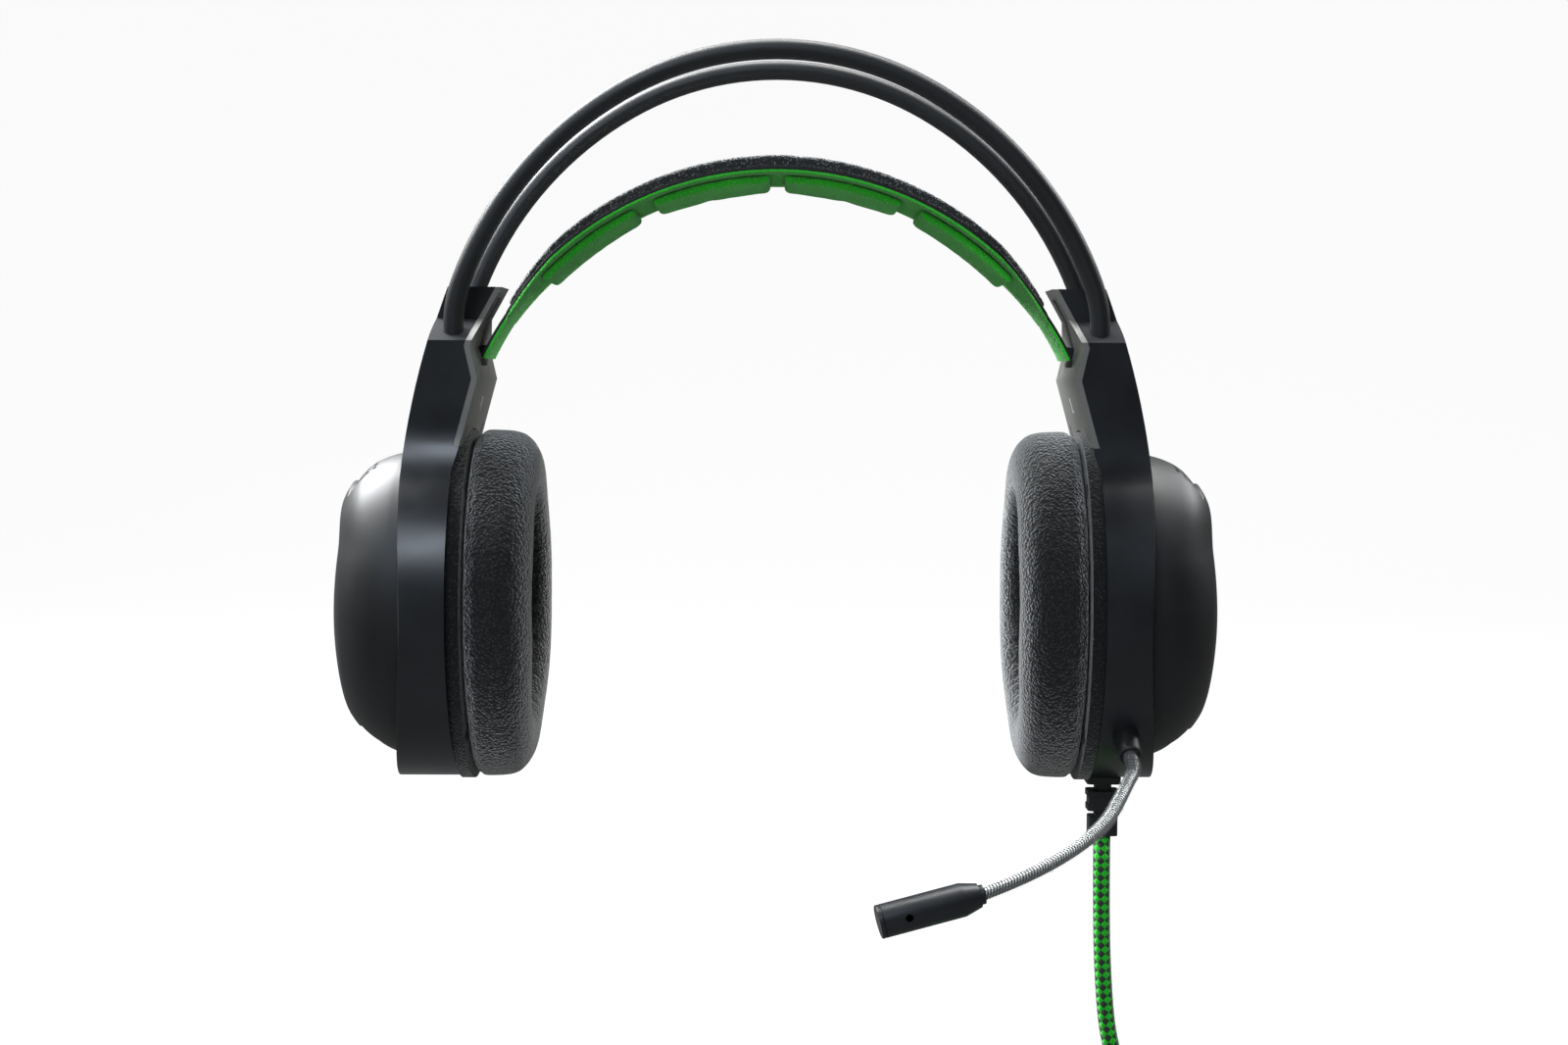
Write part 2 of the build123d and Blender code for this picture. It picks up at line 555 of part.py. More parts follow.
def ear_cushion():
    ring = oval(CUSHION_HALF_DEPTH, CUSHION_HALF_HEIGHT, CUSHION_INNER_X, PLATE_INNER_X)
    ring -= oval(EAR_HALF_DEPTH, EAR_HALF_HEIGHT, CUSHION_INNER_X, PLATE_INNER_X)
    face_edges = ring.faces().sort_by(Axis.X)[0].edges().sort_by(SortBy.LENGTH)
    ring = fillet(face_edges[-1], CUSHION_OUTER_ROUND)
    face_edges = ring.faces().sort_by(Axis.X)[0].edges().sort_by(SortBy.LENGTH)
    return fillet(face_edges[0], CUSHION_INNER_ROUND)


# ---- Suspended head pad ----
def disc(radius, centre_z):
    circle = Plane.XZ * Pos(0, centre_z) * Circle(radius)
    return extrude(circle, FAR / 2, both=True)


def pad_plan(half_width, end_x):
    """View from above: full width, then a taper to the strap's end."""
    slope = (PAD_HALF_WIDTH - PAD_END_HALF_WIDTH) / (PAD_END_X - PAD_TAPER_X)
    end_half = half_width - slope * (end_x - PAD_TAPER_X)
    quarter = [(PAD_TAPER_X, half_width), (end_x, end_half)]
    points = [(x, y) for x, y in quarter] + [(x, -y) for x, y in reversed(quarter)]
    points += [(-x, -y) for x, y in quarter] + [(-x, y) for x, y in reversed(quarter)]
    outline = fillet(make_face(Polyline(*points, close=True)).vertices(), PAD_CORNER_ROUND)
    return extrude(outline, FAR)


def pad_cover():
    crescent = disc(PAD_TOP_RADIUS, PAD_TOP_CENTRE) - disc(STRAP_RADIUS, STRAP_CENTRE)
    return crescent & pad_plan(PAD_HALF_WIDTH, COVER_END_X)


def strap_layer(outer_radius, thickness):
    layer = disc(outer_radius, STRAP_CENTRE) - disc(outer_radius - thickness, STRAP_CENTRE)
    return layer & pad_plan(PAD_HALF_WIDTH, PAD_END_X)


def pad_segment(start_x, end_x, side):
    """One raised cushion on the underside, between two planes square to the strap."""
    layer = disc(SEGMENT_RADIUS, STRAP_CENTRE) - disc(SEGMENT_RADIUS - SEGMENT_THICKNESS, STRAP_CENTRE)
    low, high = sorted((side * start_x, side * end_x))
    piece = layer & block(low, high, -SEGMENT_HALF_WIDTH, SEGMENT_HALF_WIDTH, STRAP_CENTRE, FAR)
    under = piece.faces().sort_by(SortBy.AREA)[-2:].sort_by(Axis.Z)[0]
    return fillet(under.edges(), SEGMENT_ROUND)


def strap_slider():
    """Strap end with its neck through the slot and its foot behind the inner cover."""
    thickness = STIFFENER_THICKNESS + LINER_THICKNESS
    layer = disc(STRAP_RADIUS, STRAP_CENTRE) - disc(STRAP_RADIUS - thickness, STRAP_CENTRE)
    start = PAD_END_X + STRAP_END_GAP
    end = layer & block(start, FAR, -STRAP_END_HALF_WIDTH, STRAP_END_HALF_WIDTH, STRAP_END_LOW, FAR)
    foot_end = SLIDER_FOOT_X + SLIDER_FOOT_THICKNESS
    neck = block(SLIDER_NECK_X, foot_end, -SLIDER_NECK_HALF_WIDTH, SLIDER_NECK_HALF_WIDTH,
                 SLIDER_NECK_LOW, SLIDER_NECK_HIGH)
    foot = block(SLIDER_FOOT_X, foot_end, -SLIDER_FOOT_HALF_WIDTH, SLIDER_FOOT_HALF_WIDTH,
                 SLIDER_FOOT_LOW, SLIDER_FOOT_HIGH)
    return end + neck + foot


def elastic():
    x = SLIDER_FOOT_X + SLIDER_FOOT_THICKNESS / 2
    return rod((x, 0, ELASTIC_LOW), (x, 0, SLIDER_FOOT_LOW), ELASTIC_DIAMETER / 2)


# ---- Microphone ----
def mic_boot():
    root = along(BOOT_MOUTH, BOOT_AXIS, -BOOT_LENGTH)
    cone = rod(root, BOOT_MOUTH, BOOT_ROOT_RADIUS, BOOT_MOUTH_RADIUS) - arm_block()
    outside = cone.solids().sort_by(SortBy.VOLUME)[-1]
    spigot = rod(along(BOOT_MOUTH, BOOT_AXIS, -BOOT_SPIGOT_LENGTH), BOOT_MOUTH, BOOT_SPIGOT_RADIUS)
    spigot = (spigot & arm_block()).solids().sort_by(SortBy.VOLUME)[-1]
    bore = rod(along(BOOT_MOUTH, BOOT_AXIS, -BOOT_LENGTH), BOOT_MOUTH, GOOSENECK_RADIUS)
    return outside + spigot - bore


def gooseneck_root():
    start = along(BOOT_MOUTH, BOOT_AXIS, -BOOT_LENGTH)
    end = along(PIVOTS[0], BOOT_AXIS, -PIVOT_GAP)
    bar = rod(start, end, GOOSENECK_RADIUS)
    return bar - Pos(*PIVOTS[0]) * Sphere(PIVOT_BALL_RADIUS + PIVOT_CLEARANCE)


def gooseneck_segment(index):
    """A straight length of gooseneck, with a ball at its start and a socket at its end."""
    start = Vector(PIVOTS[index])
    last = index == len(PIVOTS) - 1
    end = Vector(GOOSENECK_END if last else PIVOTS[index + 1])
    length = (end - start).length
    ball, socket = PIVOT_BALL_RADIUS, PIVOT_BALL_RADIUS + PIVOT_CLEARANCE
    ball_edge = sqrt(ball ** 2 - PIVOT_GAP ** 2)
    socket_edge = sqrt(socket ** 2 - PIVOT_GAP ** 2)
    outline = ThreePointArc((0, -ball), (ball, 0), (ball_edge, PIVOT_GAP)).edges()
    if last:
        outline += Polyline((ball_edge, PIVOT_GAP), (GOOSENECK_RADIUS, PIVOT_GAP),
                            (GOOSENECK_RADIUS, length), (0, length), (0, -ball)).edges()
    else:
        rim = length - PIVOT_GAP
        lean = (socket_edge / 2, length - sqrt(socket ** 2 - (socket_edge / 2) ** 2))
        outline += Polyline((ball_edge, PIVOT_GAP), (GOOSENECK_RADIUS, PIVOT_GAP),
                            (GOOSENECK_RADIUS, rim), (socket_edge, rim)).edges()
        outline += ThreePointArc((socket_edge, rim), lean, (0, length - socket)).edges()
        outline += Line((0, length - socket), (0, -ball)).edges()
    turned = revolve(Plane.XZ * make_face(outline), axis=Axis.Z)
    return Plane(origin=start, z_dir=end - start) * turned


def capsule_point(distance):
    """A point on the capsule's axis, measured from the end of the gooseneck."""
    return along(GOOSENECK_END, Vector(CAPSULE_TIP) - Vector(GOOSENECK_END), distance)


def mic_ferrule():
    collar = rod(GOOSENECK_END, capsule_point(FERRULE_LENGTH), FERRULE_RADIUS)
    return collar - gooseneck_segment(len(PIVOTS) - 1)


def mic_shell():
    length = (Vector(CAPSULE_TIP) - Vector(GOOSENECK_END)).length
    shoulder = capsule_point(FERRULE_LENGTH + CAPSULE_NECK_LENGTH)
    open_end = capsule_point(length - CAPSULE_CAP)
    body = rod(capsule_point(FERRULE_LENGTH), shoulder, CAPSULE_NECK_RADIUS, CAPSULE_RADIUS)
    body += rod(shoulder, open_end, CAPSULE_RADIUS)
    body -= rod(shoulder, open_end, CAPSULE_RADIUS - CAPSULE_WALL)
    hole = capsule_point(length - SOUND_HOLE_FROM_TIP)
    return body - rod(hole, hole + Vector(0, -2 * CAPSULE_RADIUS, 0), SOUND_HOLE_DIAMETER / 2)


def mic_end_cap():
    length = (Vector(CAPSULE_TIP) - Vector(GOOSENECK_END)).length
    return rod(capsule_point(length - CAPSULE_CAP), CAPSULE_TIP, CAPSULE_RADIUS)


def mic_element():
    """Electret element against the end cap."""
    length = (Vector(CAPSULE_TIP) - Vector(GOOSENECK_END)).length
    end = length - CAPSULE_CAP
    return rod(capsule_point(end - ELEMENT_LENGTH), capsule_point(end), ELEMENT_RADIUS)


# ---- Cable side ----
def junction_board():
    return block(BOARD_X, BOARD_X + BOARD_THICKNESS, -BOARD_HALF_DEPTH, BOARD_HALF_DEPTH,
                 -BOARD_HALF_HEIGHT, BOARD_HALF_HEIGHT)


def strain_relief():
    """Rubber blocks on a core, with a root that plugs into the bottom of the cup."""
    top = RELIEF_TOP
    relief = None
    for height, width, depth in RELIEF_BLOCKS:
        profile = RectangleRounded(width, depth, min(RELIEF_ROUND, depth / 4))
        piece = extrude(Pos(RELIEF_X, 0, top - height) * profile, height)
        relief = piece if relief is None else relief + piece
        top -= height
    base = block(RELIEF_X - FAR, RELIEF_X + FAR, -FAR, FAR, RELIEF_TOP, 0)
    root_end = RELIEF_TOP + RELIEF_ROOT_LENGTH
    root = rod((RELIEF_X, 0, RELIEF_TOP), (RELIEF_X, 0, root_end), RELIEF_ROOT_RADIUS)
    return relief - base + root


def route_radii(points):
    """Largest arc at each corner: 0.45 of the shorter run over the tangent of half the turn."""
    radii = []
    for before, corner, after in zip(points, points[1:], points[2:]):
        first, second = Vector(corner) - Vector(before), Vector(after) - Vector(corner)
        turn = radians(first.get_angle(second))
        radii.append(0.45 * min(first.length, second.length) / tan(turn / 2))
    return radii


def cable():
    radii = route_radii(CORD_ROUTE)
    print("cord radii", [round(radius, 1) for radius in radii])
    path = FilletPolyline(*CORD_ROUTE, radius=radii)
    tube = sweep(Plane(origin=path @ 0, z_dir=path % 0) * Circle(CORD_RADIUS), path=path)
    drawn = Circle(CORD_RADIUS).area * path.length
    print("cord tube volume", round(tube.volume), "section x length", round(drawn))
    return tube


def cable_coil():
    """Outer shape of the hanging coil, standing in the XZ plane."""
    ring = Torus(COIL_RADIUS, COIL_SECTION_RADIUS)
    return Pos(*COIL_CENTRE) * Rot(90, 0, 0) * ring


def coil_tie():
    """A strap round all the turns of the coil."""
    outer = Circle(COIL_SECTION_RADIUS + TIE_THICKNESS)
    section = Pos(COIL_RADIUS, 0) * (outer - Circle(COIL_SECTION_RADIUS))
    band = revolve(Plane.XZ * section, axis=Axis.Z, revolution_arc=TIE_ANGLE)
    return Pos(*COIL_CENTRE) * Rot(90, 0, 0) * Rot(0, 0, TIE_PLACE - TIE_ANGLE / 2) * band


def plug_top():
    """Where the tail of the cord ends in the plug, hanging from the coil's outer side."""
    return COIL_CENTRE + Vector(COIL_RADIUS + CORD_DIAMETER, 0, -PLUG_TAIL)


def plug_tail():
    top = plug_top()
    piece = rod(top + Vector(0, 0, PLUG_TAIL), top, CORD_RADIUS) - cable_coil()
    return piece.solids().sort_by(Axis.Z)[0]


def plug_shell():
    top = plug_top()
    boot_end = top - Vector(0, 0, PLUG_BOOT_LENGTH)
    shell_end = boot_end - Vector(0, 0, PLUG_LENGTH - PLUG_BOOT_LENGTH)
    return rod(top, boot_end, CORD_RADIUS + 0.2, PLUG_BOOT_RADIUS) + rod(boot_end, shell_end, PLUG_RADIUS)


def plug_contacts():
    """3.5 mm jack plug with a pointed tip."""
    start = plug_top() - Vector(0, 0, PLUG_LENGTH)
    shoulder = start - Vector(0, 0, CONTACT_LENGTH - CONTACT_TIP)
    tip = start - Vector(0, 0, CONTACT_LENGTH)
    return rod(start, shoulder, CONTACT_RADIUS) + rod(shoulder, tip, CONTACT_RADIUS, CONTACT_RADIUS / 3)


def build():
    save("front_bow_tube", bow_tube(-1))
    save("rear_bow_tube", bow_tube(1))
    save("crossover_lead", splayed(bow_bar(LEAD_DIAMETER / 2), 1))
    save("clamp_screws", both_sides(clamp_screws()))
    save("cup_screws", both_sides(cup_screws()))
    for name, side in SIDES.items():
        save(f"arm_housing_{name}", arm_housing(side), side)
        save(f"inner_cover_{name}", inner_cover(), side)
        save(f"tube_clamp_{name}", tube_clamp(), side)
        save(f"dome_cover_{name}", dome_cover(), side)
        save(f"vent_cloth_{name}", vent_cloth(), side)
        save(f"baffle_{name}", baffle(), side)
        save(f"driver_basket_{name}", driver_basket(), side)
        save(f"driver_diaphragm_{name}", diaphragm(), side)
        save(f"driver_magnet_{name}", magnet(), side)
        save(f"cushion_plate_{name}", cushion_plate(), side)
        save(f"scrim_cloth_{name}", scrim(), side)
        save(f"ear_cushion_{name}", ear_cushion(), side)
        save(f"strap_slider_{name}", strap_slider(), side)
        save(f"return_elastic_{name}", elastic(), side)
        for number, (start_x, end_x) in enumerate(SEGMENT_SPANS, 1):
            save(f"pad_cushion_{name}_{number}", pad_segment(start_x, end_x, 1), side)
    save("pad_cover", pad_cover())
    save("pad_stiffener", strap_layer(STRAP_RADIUS, STIFFENER_THICKNESS))
    save("pad_liner", strap_layer(LINER_RADIUS, LINER_THICKNESS))
    save("mic_boot", mic_boot())
    save("gooseneck_root", gooseneck_root())
    for index in range(len(PIVOTS)):
        save(f"gooseneck_segment_{index + 1}", gooseneck_segment(index))
    save("mic_ferrule", mic_ferrule())
    save("mic_shell", mic_shell())
    save("mic_end_cap", mic_end_cap())
    save("mic_element", mic_element())
    save("junction_board", junction_board())
    save("strain_relief", strain_relief())
    save("cable", cable())
    save("cable_coil", cable_coil())
    save("coil_tie", coil_tie())
    save("cable_tail", plug_tail())
    save("plug_shell", plug_shell())
    save("plug_contacts", plug_contacts())


build()
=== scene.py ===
import json
from math import cos, pi, radians, sin, sqrt

import bmesh
import bpy
import numpy as np
from mathutils import Matrix, Vector


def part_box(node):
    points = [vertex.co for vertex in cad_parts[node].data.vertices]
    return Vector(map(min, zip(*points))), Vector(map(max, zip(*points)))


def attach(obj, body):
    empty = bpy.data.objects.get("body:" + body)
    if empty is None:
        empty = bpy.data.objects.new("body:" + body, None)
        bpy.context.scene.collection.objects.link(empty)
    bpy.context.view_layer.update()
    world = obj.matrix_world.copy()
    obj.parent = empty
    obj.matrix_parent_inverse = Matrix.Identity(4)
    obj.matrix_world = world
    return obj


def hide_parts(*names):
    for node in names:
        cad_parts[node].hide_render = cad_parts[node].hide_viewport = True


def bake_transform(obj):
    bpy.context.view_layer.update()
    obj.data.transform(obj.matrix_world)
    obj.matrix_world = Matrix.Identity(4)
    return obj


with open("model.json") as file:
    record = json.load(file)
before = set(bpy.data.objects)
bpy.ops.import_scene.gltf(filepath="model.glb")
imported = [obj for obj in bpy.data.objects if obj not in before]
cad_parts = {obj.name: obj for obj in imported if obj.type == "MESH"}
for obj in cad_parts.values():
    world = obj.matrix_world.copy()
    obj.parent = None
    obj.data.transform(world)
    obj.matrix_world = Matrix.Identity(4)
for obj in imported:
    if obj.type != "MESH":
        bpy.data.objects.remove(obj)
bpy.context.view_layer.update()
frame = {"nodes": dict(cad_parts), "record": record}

bl_info = {
    "name": "Gaming headset",
    "version": (1, 0, 0),
    "blender": (4, 5, 0),
    "location": "3D View > Sidebar > Headset",
    "description": "Builds a wired over-ear headset with its fabrics, gooseneck microphone and braided cord",
    "category": "Object",
}

SIDES = {"left": 1, "right": -1}
NODES = frame["nodes"]

# Arc of the straps and the pad, metres
STRAP_RADIUS = 0.0925
STRAP_CENTRE_Z = 0.0304
STRAP_THICKNESS = 0.0008        # of each of its two layers
STRAP_STEPS = 28
STRAP_LOWEST_Z = 0.0709         # where it meets its slot
PAD_END_X = 0.076

# Half width and half height of the ear opening
OPENING_HALF_WIDTH = 0.019
OPENING_HALF_HEIGHT = 0.030

# Faces between these heights that look up are the ledges where the tubes enter
LEDGE_LOW, LEDGE_HIGH = 0.070, 0.105
LETTER_PLACE = (0.0846, 0.0573)     # x and z of the side letter's middle
LETTER_SIZE = 0.0062

# Faces round each turn of the gooseneck's spring, and round its wire
RING_STEPS, WIRE_STEPS = 22, 6

# Camera: place, then turns in degrees
CAMERA_PLACE = (0.0, -0.624, 0.0653)
CAMERA_PITCH, CAMERA_YAW, CAMERA_ROLL = 3.81, 0.206, 0.24

# Lights: name, place, aimed at, size, watts, colour
LIGHTS = (
    ("key", (-0.95, 0.5, 1.15), (-0.1, 0, 0), (1.0, 0.9), 105.0, (0.96, 0.98, 1.0)),
    ("top", (0.15, 0.4, 1.4), (0, 0, 0.05), (1.4, 0.5), 38.0, (1.0, 1.0, 1.0)),
    ("rim", (1.1, 0.6, 0.9), (0.1, 0, 0.0), (0.6, 0.6), 16.0, (0.97, 0.98, 1.0)),
    ("front", (-0.45, -1.2, 0.85), (0, 0, 0.0), (0.7, 0.3), 9.0, (0.78, 0.88, 1.0)),
    ("fill", (0.0, -1.4, 0.0), (0, 0, 0.08), (1.3, 0.4), 4.5, (0.95, 0.98, 1.0)),
)


# ---- Sizes and colours that a user would change ----
def length(name, description, default):
    return bpy.props.FloatProperty(name=name, description=description, default=default, unit="LENGTH",
                                   precision=5)


def colour(name, description, default):
    return bpy.props.FloatVectorProperty(name=name, description=description, default=default, size=3,
                                         subtype="COLOR", min=0, max=1)


class HeadsetColours(bpy.types.PropertyGroup):
    plastic: colour("Plastic", "Moulded housings", (0.0085, 0.0095, 0.0115))
    dome: colour("Dome", "Outer covers of the cups", (0.008, 0.0085, 0.009))
    coating: colour("Tube coating", "Powder coat of the headband tubes", (0.010, 0.011, 0.012))
    # Grey that paints the reflection of the bright surroundings on the inner covers' black plastic.
    inner_plate_painted_reflection: colour("Inner cover", "Cover inside each arm", (0.15, 0.15, 0.14))
    cushion: colour("Cushion fabric", "Woven fabric of the ear cushions", (0.010, 0.0105, 0.011))
    pad: colour("Pad fabric", "Textured fabric on top of the head pad", (0.022, 0.024, 0.025))
    green: colour("Green fabric", "Underside of the head pad", (0.045, 0.60, 0.04))
    cord: colour("Cord braid", "Bright strands of the cord", (0.008, 0.62, 0.012))
    cord_dark: colour("Cord braid dark", "Dark strands of the cord", (0.018, 0.035, 0.018))
    spring: colour("Gooseneck spring", "Coil inside the clear sleeve", (0.42, 0.43, 0.42))


class HeadsetSizes(bpy.types.PropertyGroup):
    edge: length("Edge rounding", "Radius of moulded edges", 0.00035)
    ring_pitch: length("Spring pitch", "Distance between turns of the gooseneck spring", 0.00085)
    sleeve: length("Sleeve radius", "Outer radius of the clear sleeve", 0.0021)
    cord: length("Cord diameter", "Diameter of the braided cord", 0.005)
    braid: length("Braid repeat", "Length of one diamond of the braid", 0.00248)


def sizes():
    return bpy.context.scene.headset_sizes


def colours():
    return bpy.context.scene.headset_colours


# ---- Shader groups ----
def new_group(name, inputs, outputs):
    group = bpy.data.node_groups.new(name, "ShaderNodeTree")
    for label, kind, default in inputs:
        socket = group.interface.new_socket(name=label, in_out="INPUT", socket_type=kind)
        socket.default_value = default
    for label, kind in outputs:
        group.interface.new_socket(name=label, in_out="OUTPUT", socket_type=kind)
    return group, group.nodes.new("NodeGroupInput"), group.nodes.new("NodeGroupOutput")


FLOAT = "NodeSocketFloat"


class Tree:
    """Short ways to add and join nodes."""

    def __init__(self, tree):
        self.tree = tree

    def add(self, kind, **values):
        node = self.tree.nodes.new(kind)
        for key, value in values.items():
            setattr(node, key, value)
        return node

    def join(self, out, into):
        self.tree.links.new(out, into)

    def put(self, socket, value):
        if isinstance(value, bpy.types.NodeSocket):
            self.join(value, socket)
        else:
            socket.default_value = value

    def math(self, operation, first, second=0.5, third=None):
        node = self.add("ShaderNodeMath", operation=operation)
        self.put(node.inputs[0], first)
        self.put(node.inputs[1], second)
        if third is not None:
            self.put(node.inputs[2], third)
        return node.outputs[0]

    def mix(self, factor, first, second):
        node = self.add("ShaderNodeMix", data_type="RGBA")
        self.put(node.inputs["Factor"], factor)
        self.put(node.inputs[6], first)
        self.put(node.inputs[7], second)
        return node.outputs[2]

    def noise(self, vector, scale, detail=2.0, roughness=0.5):
        node = self.add("ShaderNodeTexNoise")
        self.join(vector, node.inputs["Vector"])
        self.put(node.inputs["Scale"], scale)
        node.inputs["Detail"].default_value = detail
        node.inputs["Roughness"].default_value = roughness
        return node.outputs[0]

    def span(self, value, low, high, to_low=0.0, to_high=1.0):
        node = self.add("ShaderNodeMapRange")
        for index, item in enumerate((value, low, high, to_low, to_high)):
            self.put(node.inputs[index], item)
        return node.outputs[0]


def moulded_grain():
    """Fine spark-eroded grain, with soft patches where the plastic has been handled."""
    group, start, end = new_group("moulded_grain", [("Scale", FLOAT, 3500.0), ("Patches", FLOAT, 60.0)],
                                  [("Height", FLOAT), ("Handled", FLOAT)])
    tree = Tree(group)
    place = tree.add("ShaderNodeTexCoord").outputs["Object"]
    tree.join(tree.noise(place, start.outputs["Scale"], 1.0), end.inputs["Height"])
    tree.join(tree.span(tree.noise(place, start.outputs["Patches"], 3.0), 0.35, 0.7), end.inputs["Handled"])
    return group


def knitted():
    """Coarse cloth of tufted loops: height, and a mask of threads that catch the light."""
    group, start, end = new_group("knitted", [("Scale", FLOAT, 1300.0)],
                                  [("Height", FLOAT), ("Bright", FLOAT), ("Patches", FLOAT)])
    tree = Tree(group)
    place = tree.add("ShaderNodeTexCoord").outputs["Object"]
    cells = tree.add("ShaderNodeTexVoronoi")
    tree.join(place, cells.inputs["Vector"])
    tree.join(start.outputs["Scale"], cells.inputs["Scale"])
    fibres = tree.noise(place, tree.math("MULTIPLY", start.outputs["Scale"], 1.7), 3.0, 0.65)
    loops = tree.span(cells.outputs["Distance"], 0.0, 0.75, 1.0, 0.0)
    tree.join(tree.math("MULTIPLY_ADD", fibres, 0.8, loops), end.inputs["Height"])
    tree.join(tree.span(tree.math("MULTIPLY", fibres, loops), 0.30, 0.48), end.inputs["Bright"])
    tree.join(tree.span(tree.noise(place, 45.0, 3.0), 0.3, 0.7), end.inputs["Patches"])
    return group


def braided():
    """Two-colour braid in the piece's own UV: u counts repeats along it, v goes once round."""
    group, start, end = new_group("braided", [("Around", FLOAT, 6.0)],
                                  [("Bright", FLOAT), ("Height", FLOAT)])
    tree = Tree(group)
    parts = tree.add("ShaderNodeSeparateXYZ")
    tree.join(tree.add("ShaderNodeUVMap", uv_map="lay").outputs[0], parts.inputs[0])
    around = tree.math("MULTIPLY", parts.outputs[1], start.outputs["Around"])
    up = tree.math("ADD", parts.outputs[0], around)
    down = tree.math("SUBTRACT", parts.outputs[0], around)
    wave_up = tree.math("SINE", tree.math("MULTIPLY", up, pi))
    wave_down = tree.math("SINE", tree.math("MULTIPLY", down, pi))
    both = tree.math("MULTIPLY", wave_up, wave_down)
    tree.join(tree.span(both, -0.05, 0.05), end.inputs["Bright"])
    tree.join(tree.math("ABSOLUTE", both), end.inputs["Height"])
    return group


GROUP_MAKERS = {"moulded_grain": moulded_grain, "knitted": knitted, "braided": braided}


def group_node(tree, name, **values):
    made = bpy.data.node_groups.get(name) or GROUP_MAKERS[name]()
    node = tree.add("ShaderNodeGroup", node_tree=made)
    for key, value in values.items():
        node.inputs[key].default_value = value
    return node


# ---- Materials ----
MADE = {}


def blank(name, **settings):
    """A new material with its tree and shader, or the one made earlier under that name and no tree."""
    if name in MADE:
        return MADE[name], None, None
    material = MADE[name] = bpy.data.materials.new(name.replace("_", " "))
    material.use_nodes = True
    tree = Tree(material.node_tree)
    shader = material.node_tree.nodes["Principled BSDF"]
    for key, value in settings.items():
        shader.inputs[key.replace("_", " ")].default_value = value
    return material, tree, shader


def opaque(rgb):
    return (*rgb, 1.0)


def bump(tree, shader, height, strength, distance):
    node = tree.add("ShaderNodeBump")
    node.inputs["Strength"].default_value = strength
    node.inputs["Distance"].default_value = distance
    tree.join(height, node.inputs["Height"])
    tree.join(node.outputs[0], shader.inputs["Normal"])


def plastic(name, rgb, rough, grain=3500.0, relief=0.00003, light=1.5, **settings):
    """Moulded plastic with a fine grain and uneven gloss."""
    material, tree, shader = blank(name, **settings)
    if tree:
        grains = group_node(tree, "moulded_grain", Scale=grain)
        pale = opaque([min(1.0, c * light) for c in rgb])
        tree.join(tree.mix(grains.outputs["Handled"], opaque(rgb), pale), shader.inputs["Base Color"])
        tree.join(tree.span(grains.outputs["Handled"], 0, 1, rough - 0.03, rough + 0.05),
                  shader.inputs["Roughness"])
        bump(tree, shader, grains.outputs["Height"], 0.5, relief)
    return material


def fabric(name, rgb, bright, scale, relief, sheen=0.6, **settings):
    """Cloth with lit threads over a darker ground."""
    material, tree, shader = blank(name, Sheen_Weight=sheen, Sheen_Roughness=0.45, Roughness=0.92,
                                   Specular_IOR_Level=0.25, **settings)
    if tree:
        knit = group_node(tree, "knitted", Scale=scale)
        ground = tree.mix(knit.outputs["Patches"], opaque([c * 0.8 for c in rgb]), opaque(rgb))
        tree.join(tree.mix(knit.outputs["Bright"], ground, opaque(bright)), shader.inputs["Base Color"])
        bump(tree, shader, knit.outputs["Height"], 0.9, relief)
    return material


def metal(name, rgb, rough, **settings):
    material, tree, shader = blank(name, Metallic=1.0, **settings)
    if tree:
        grains = group_node(tree, "moulded_grain", Scale=2500.0, Patches=400.0)
        dull = opaque([c * 0.75 for c in rgb])
        tree.join(tree.mix(grains.outputs["Handled"], opaque(rgb), dull), shader.inputs["Base Color"])
        tree.join(tree.span(grains.outputs["Handled"], 0, 1, rough, rough + 0.12), shader.inputs["Roughness"])
        bump(tree, shader, grains.outputs["Height"], 0.3, 0.00001)
    return material


def cord_material():
    material, tree, shader = blank("cord_braid", Roughness=0.62, Sheen_Weight=0.3, Specular_IOR_Level=0.35)
    if tree:
        weave = group_node(tree, "braided", Around=6.0)
        knit = group_node(tree, "knitted", Scale=5000.0)
        # Darker where the knit's height is low: painted shade in the hollows between its loops.
        shade = tree.mix(knit.outputs["Height"], opaque([c * 0.75 for c in colours().cord]),
                         opaque(colours().cord))
        tree.join(tree.mix(weave.outputs["Bright"], opaque(colours().cord_dark), shade),
                  shader.inputs["Base Color"])
        bump(tree, shader, tree.math("MULTIPLY_ADD", knit.outputs["Height"], 0.15, weave.outputs["Height"]),
             0.8, 0.0003)
    return material


def sleeve_material():
    """Clear plastic sleeve: mostly see-through, with a bright skin."""
    material, tree, shader = blank("clear_sleeve", Roughness=0.15, Alpha=0.12, Coat_Weight=0.6,
                                   Coat_Roughness=0.08, Specular_IOR_Level=0.6)
    if tree:
        grains = group_node(tree, "moulded_grain", Scale=1800.0, Patches=300.0)
        tree.join(tree.mix(grains.outputs["Handled"], (0.55, 0.56, 0.55, 1), (0.75, 0.76, 0.76, 1)),
                  shader.inputs["Base Color"])
    return material


def dress(obj, *materials):
    obj.data.materials.clear()
    for material in materials:
        obj.data.materials.append(material)
    return obj


# ---- Mesh helpers ----
def new_object(name, mesh):
    obj = bpy.data.objects.new(name, mesh)
    bpy.context.scene.collection.objects.link(obj)
    return obj


def mesh_object(name, points, faces, smooth=True):
    mesh = bpy.data.meshes.new(name)
    mesh.from_pydata([tuple(p) for p in points], [], faces)
    mesh.validate()
    if smooth:
        mesh.shade_smooth()
    return new_object(name, mesh)


def finish_mesh(obj, merge=1e-6, outward=True):
    """Merge doubles and turn every face outwards."""
    work = bmesh.new()
    work.from_mesh(obj.data)
    bmesh.ops.remove_doubles(work, verts=work.verts, dist=merge)
    if outward:
        bmesh.ops.recalc_face_normals(work, faces=work.faces)
    work.to_mesh(obj.data)
    work.free()
    return obj


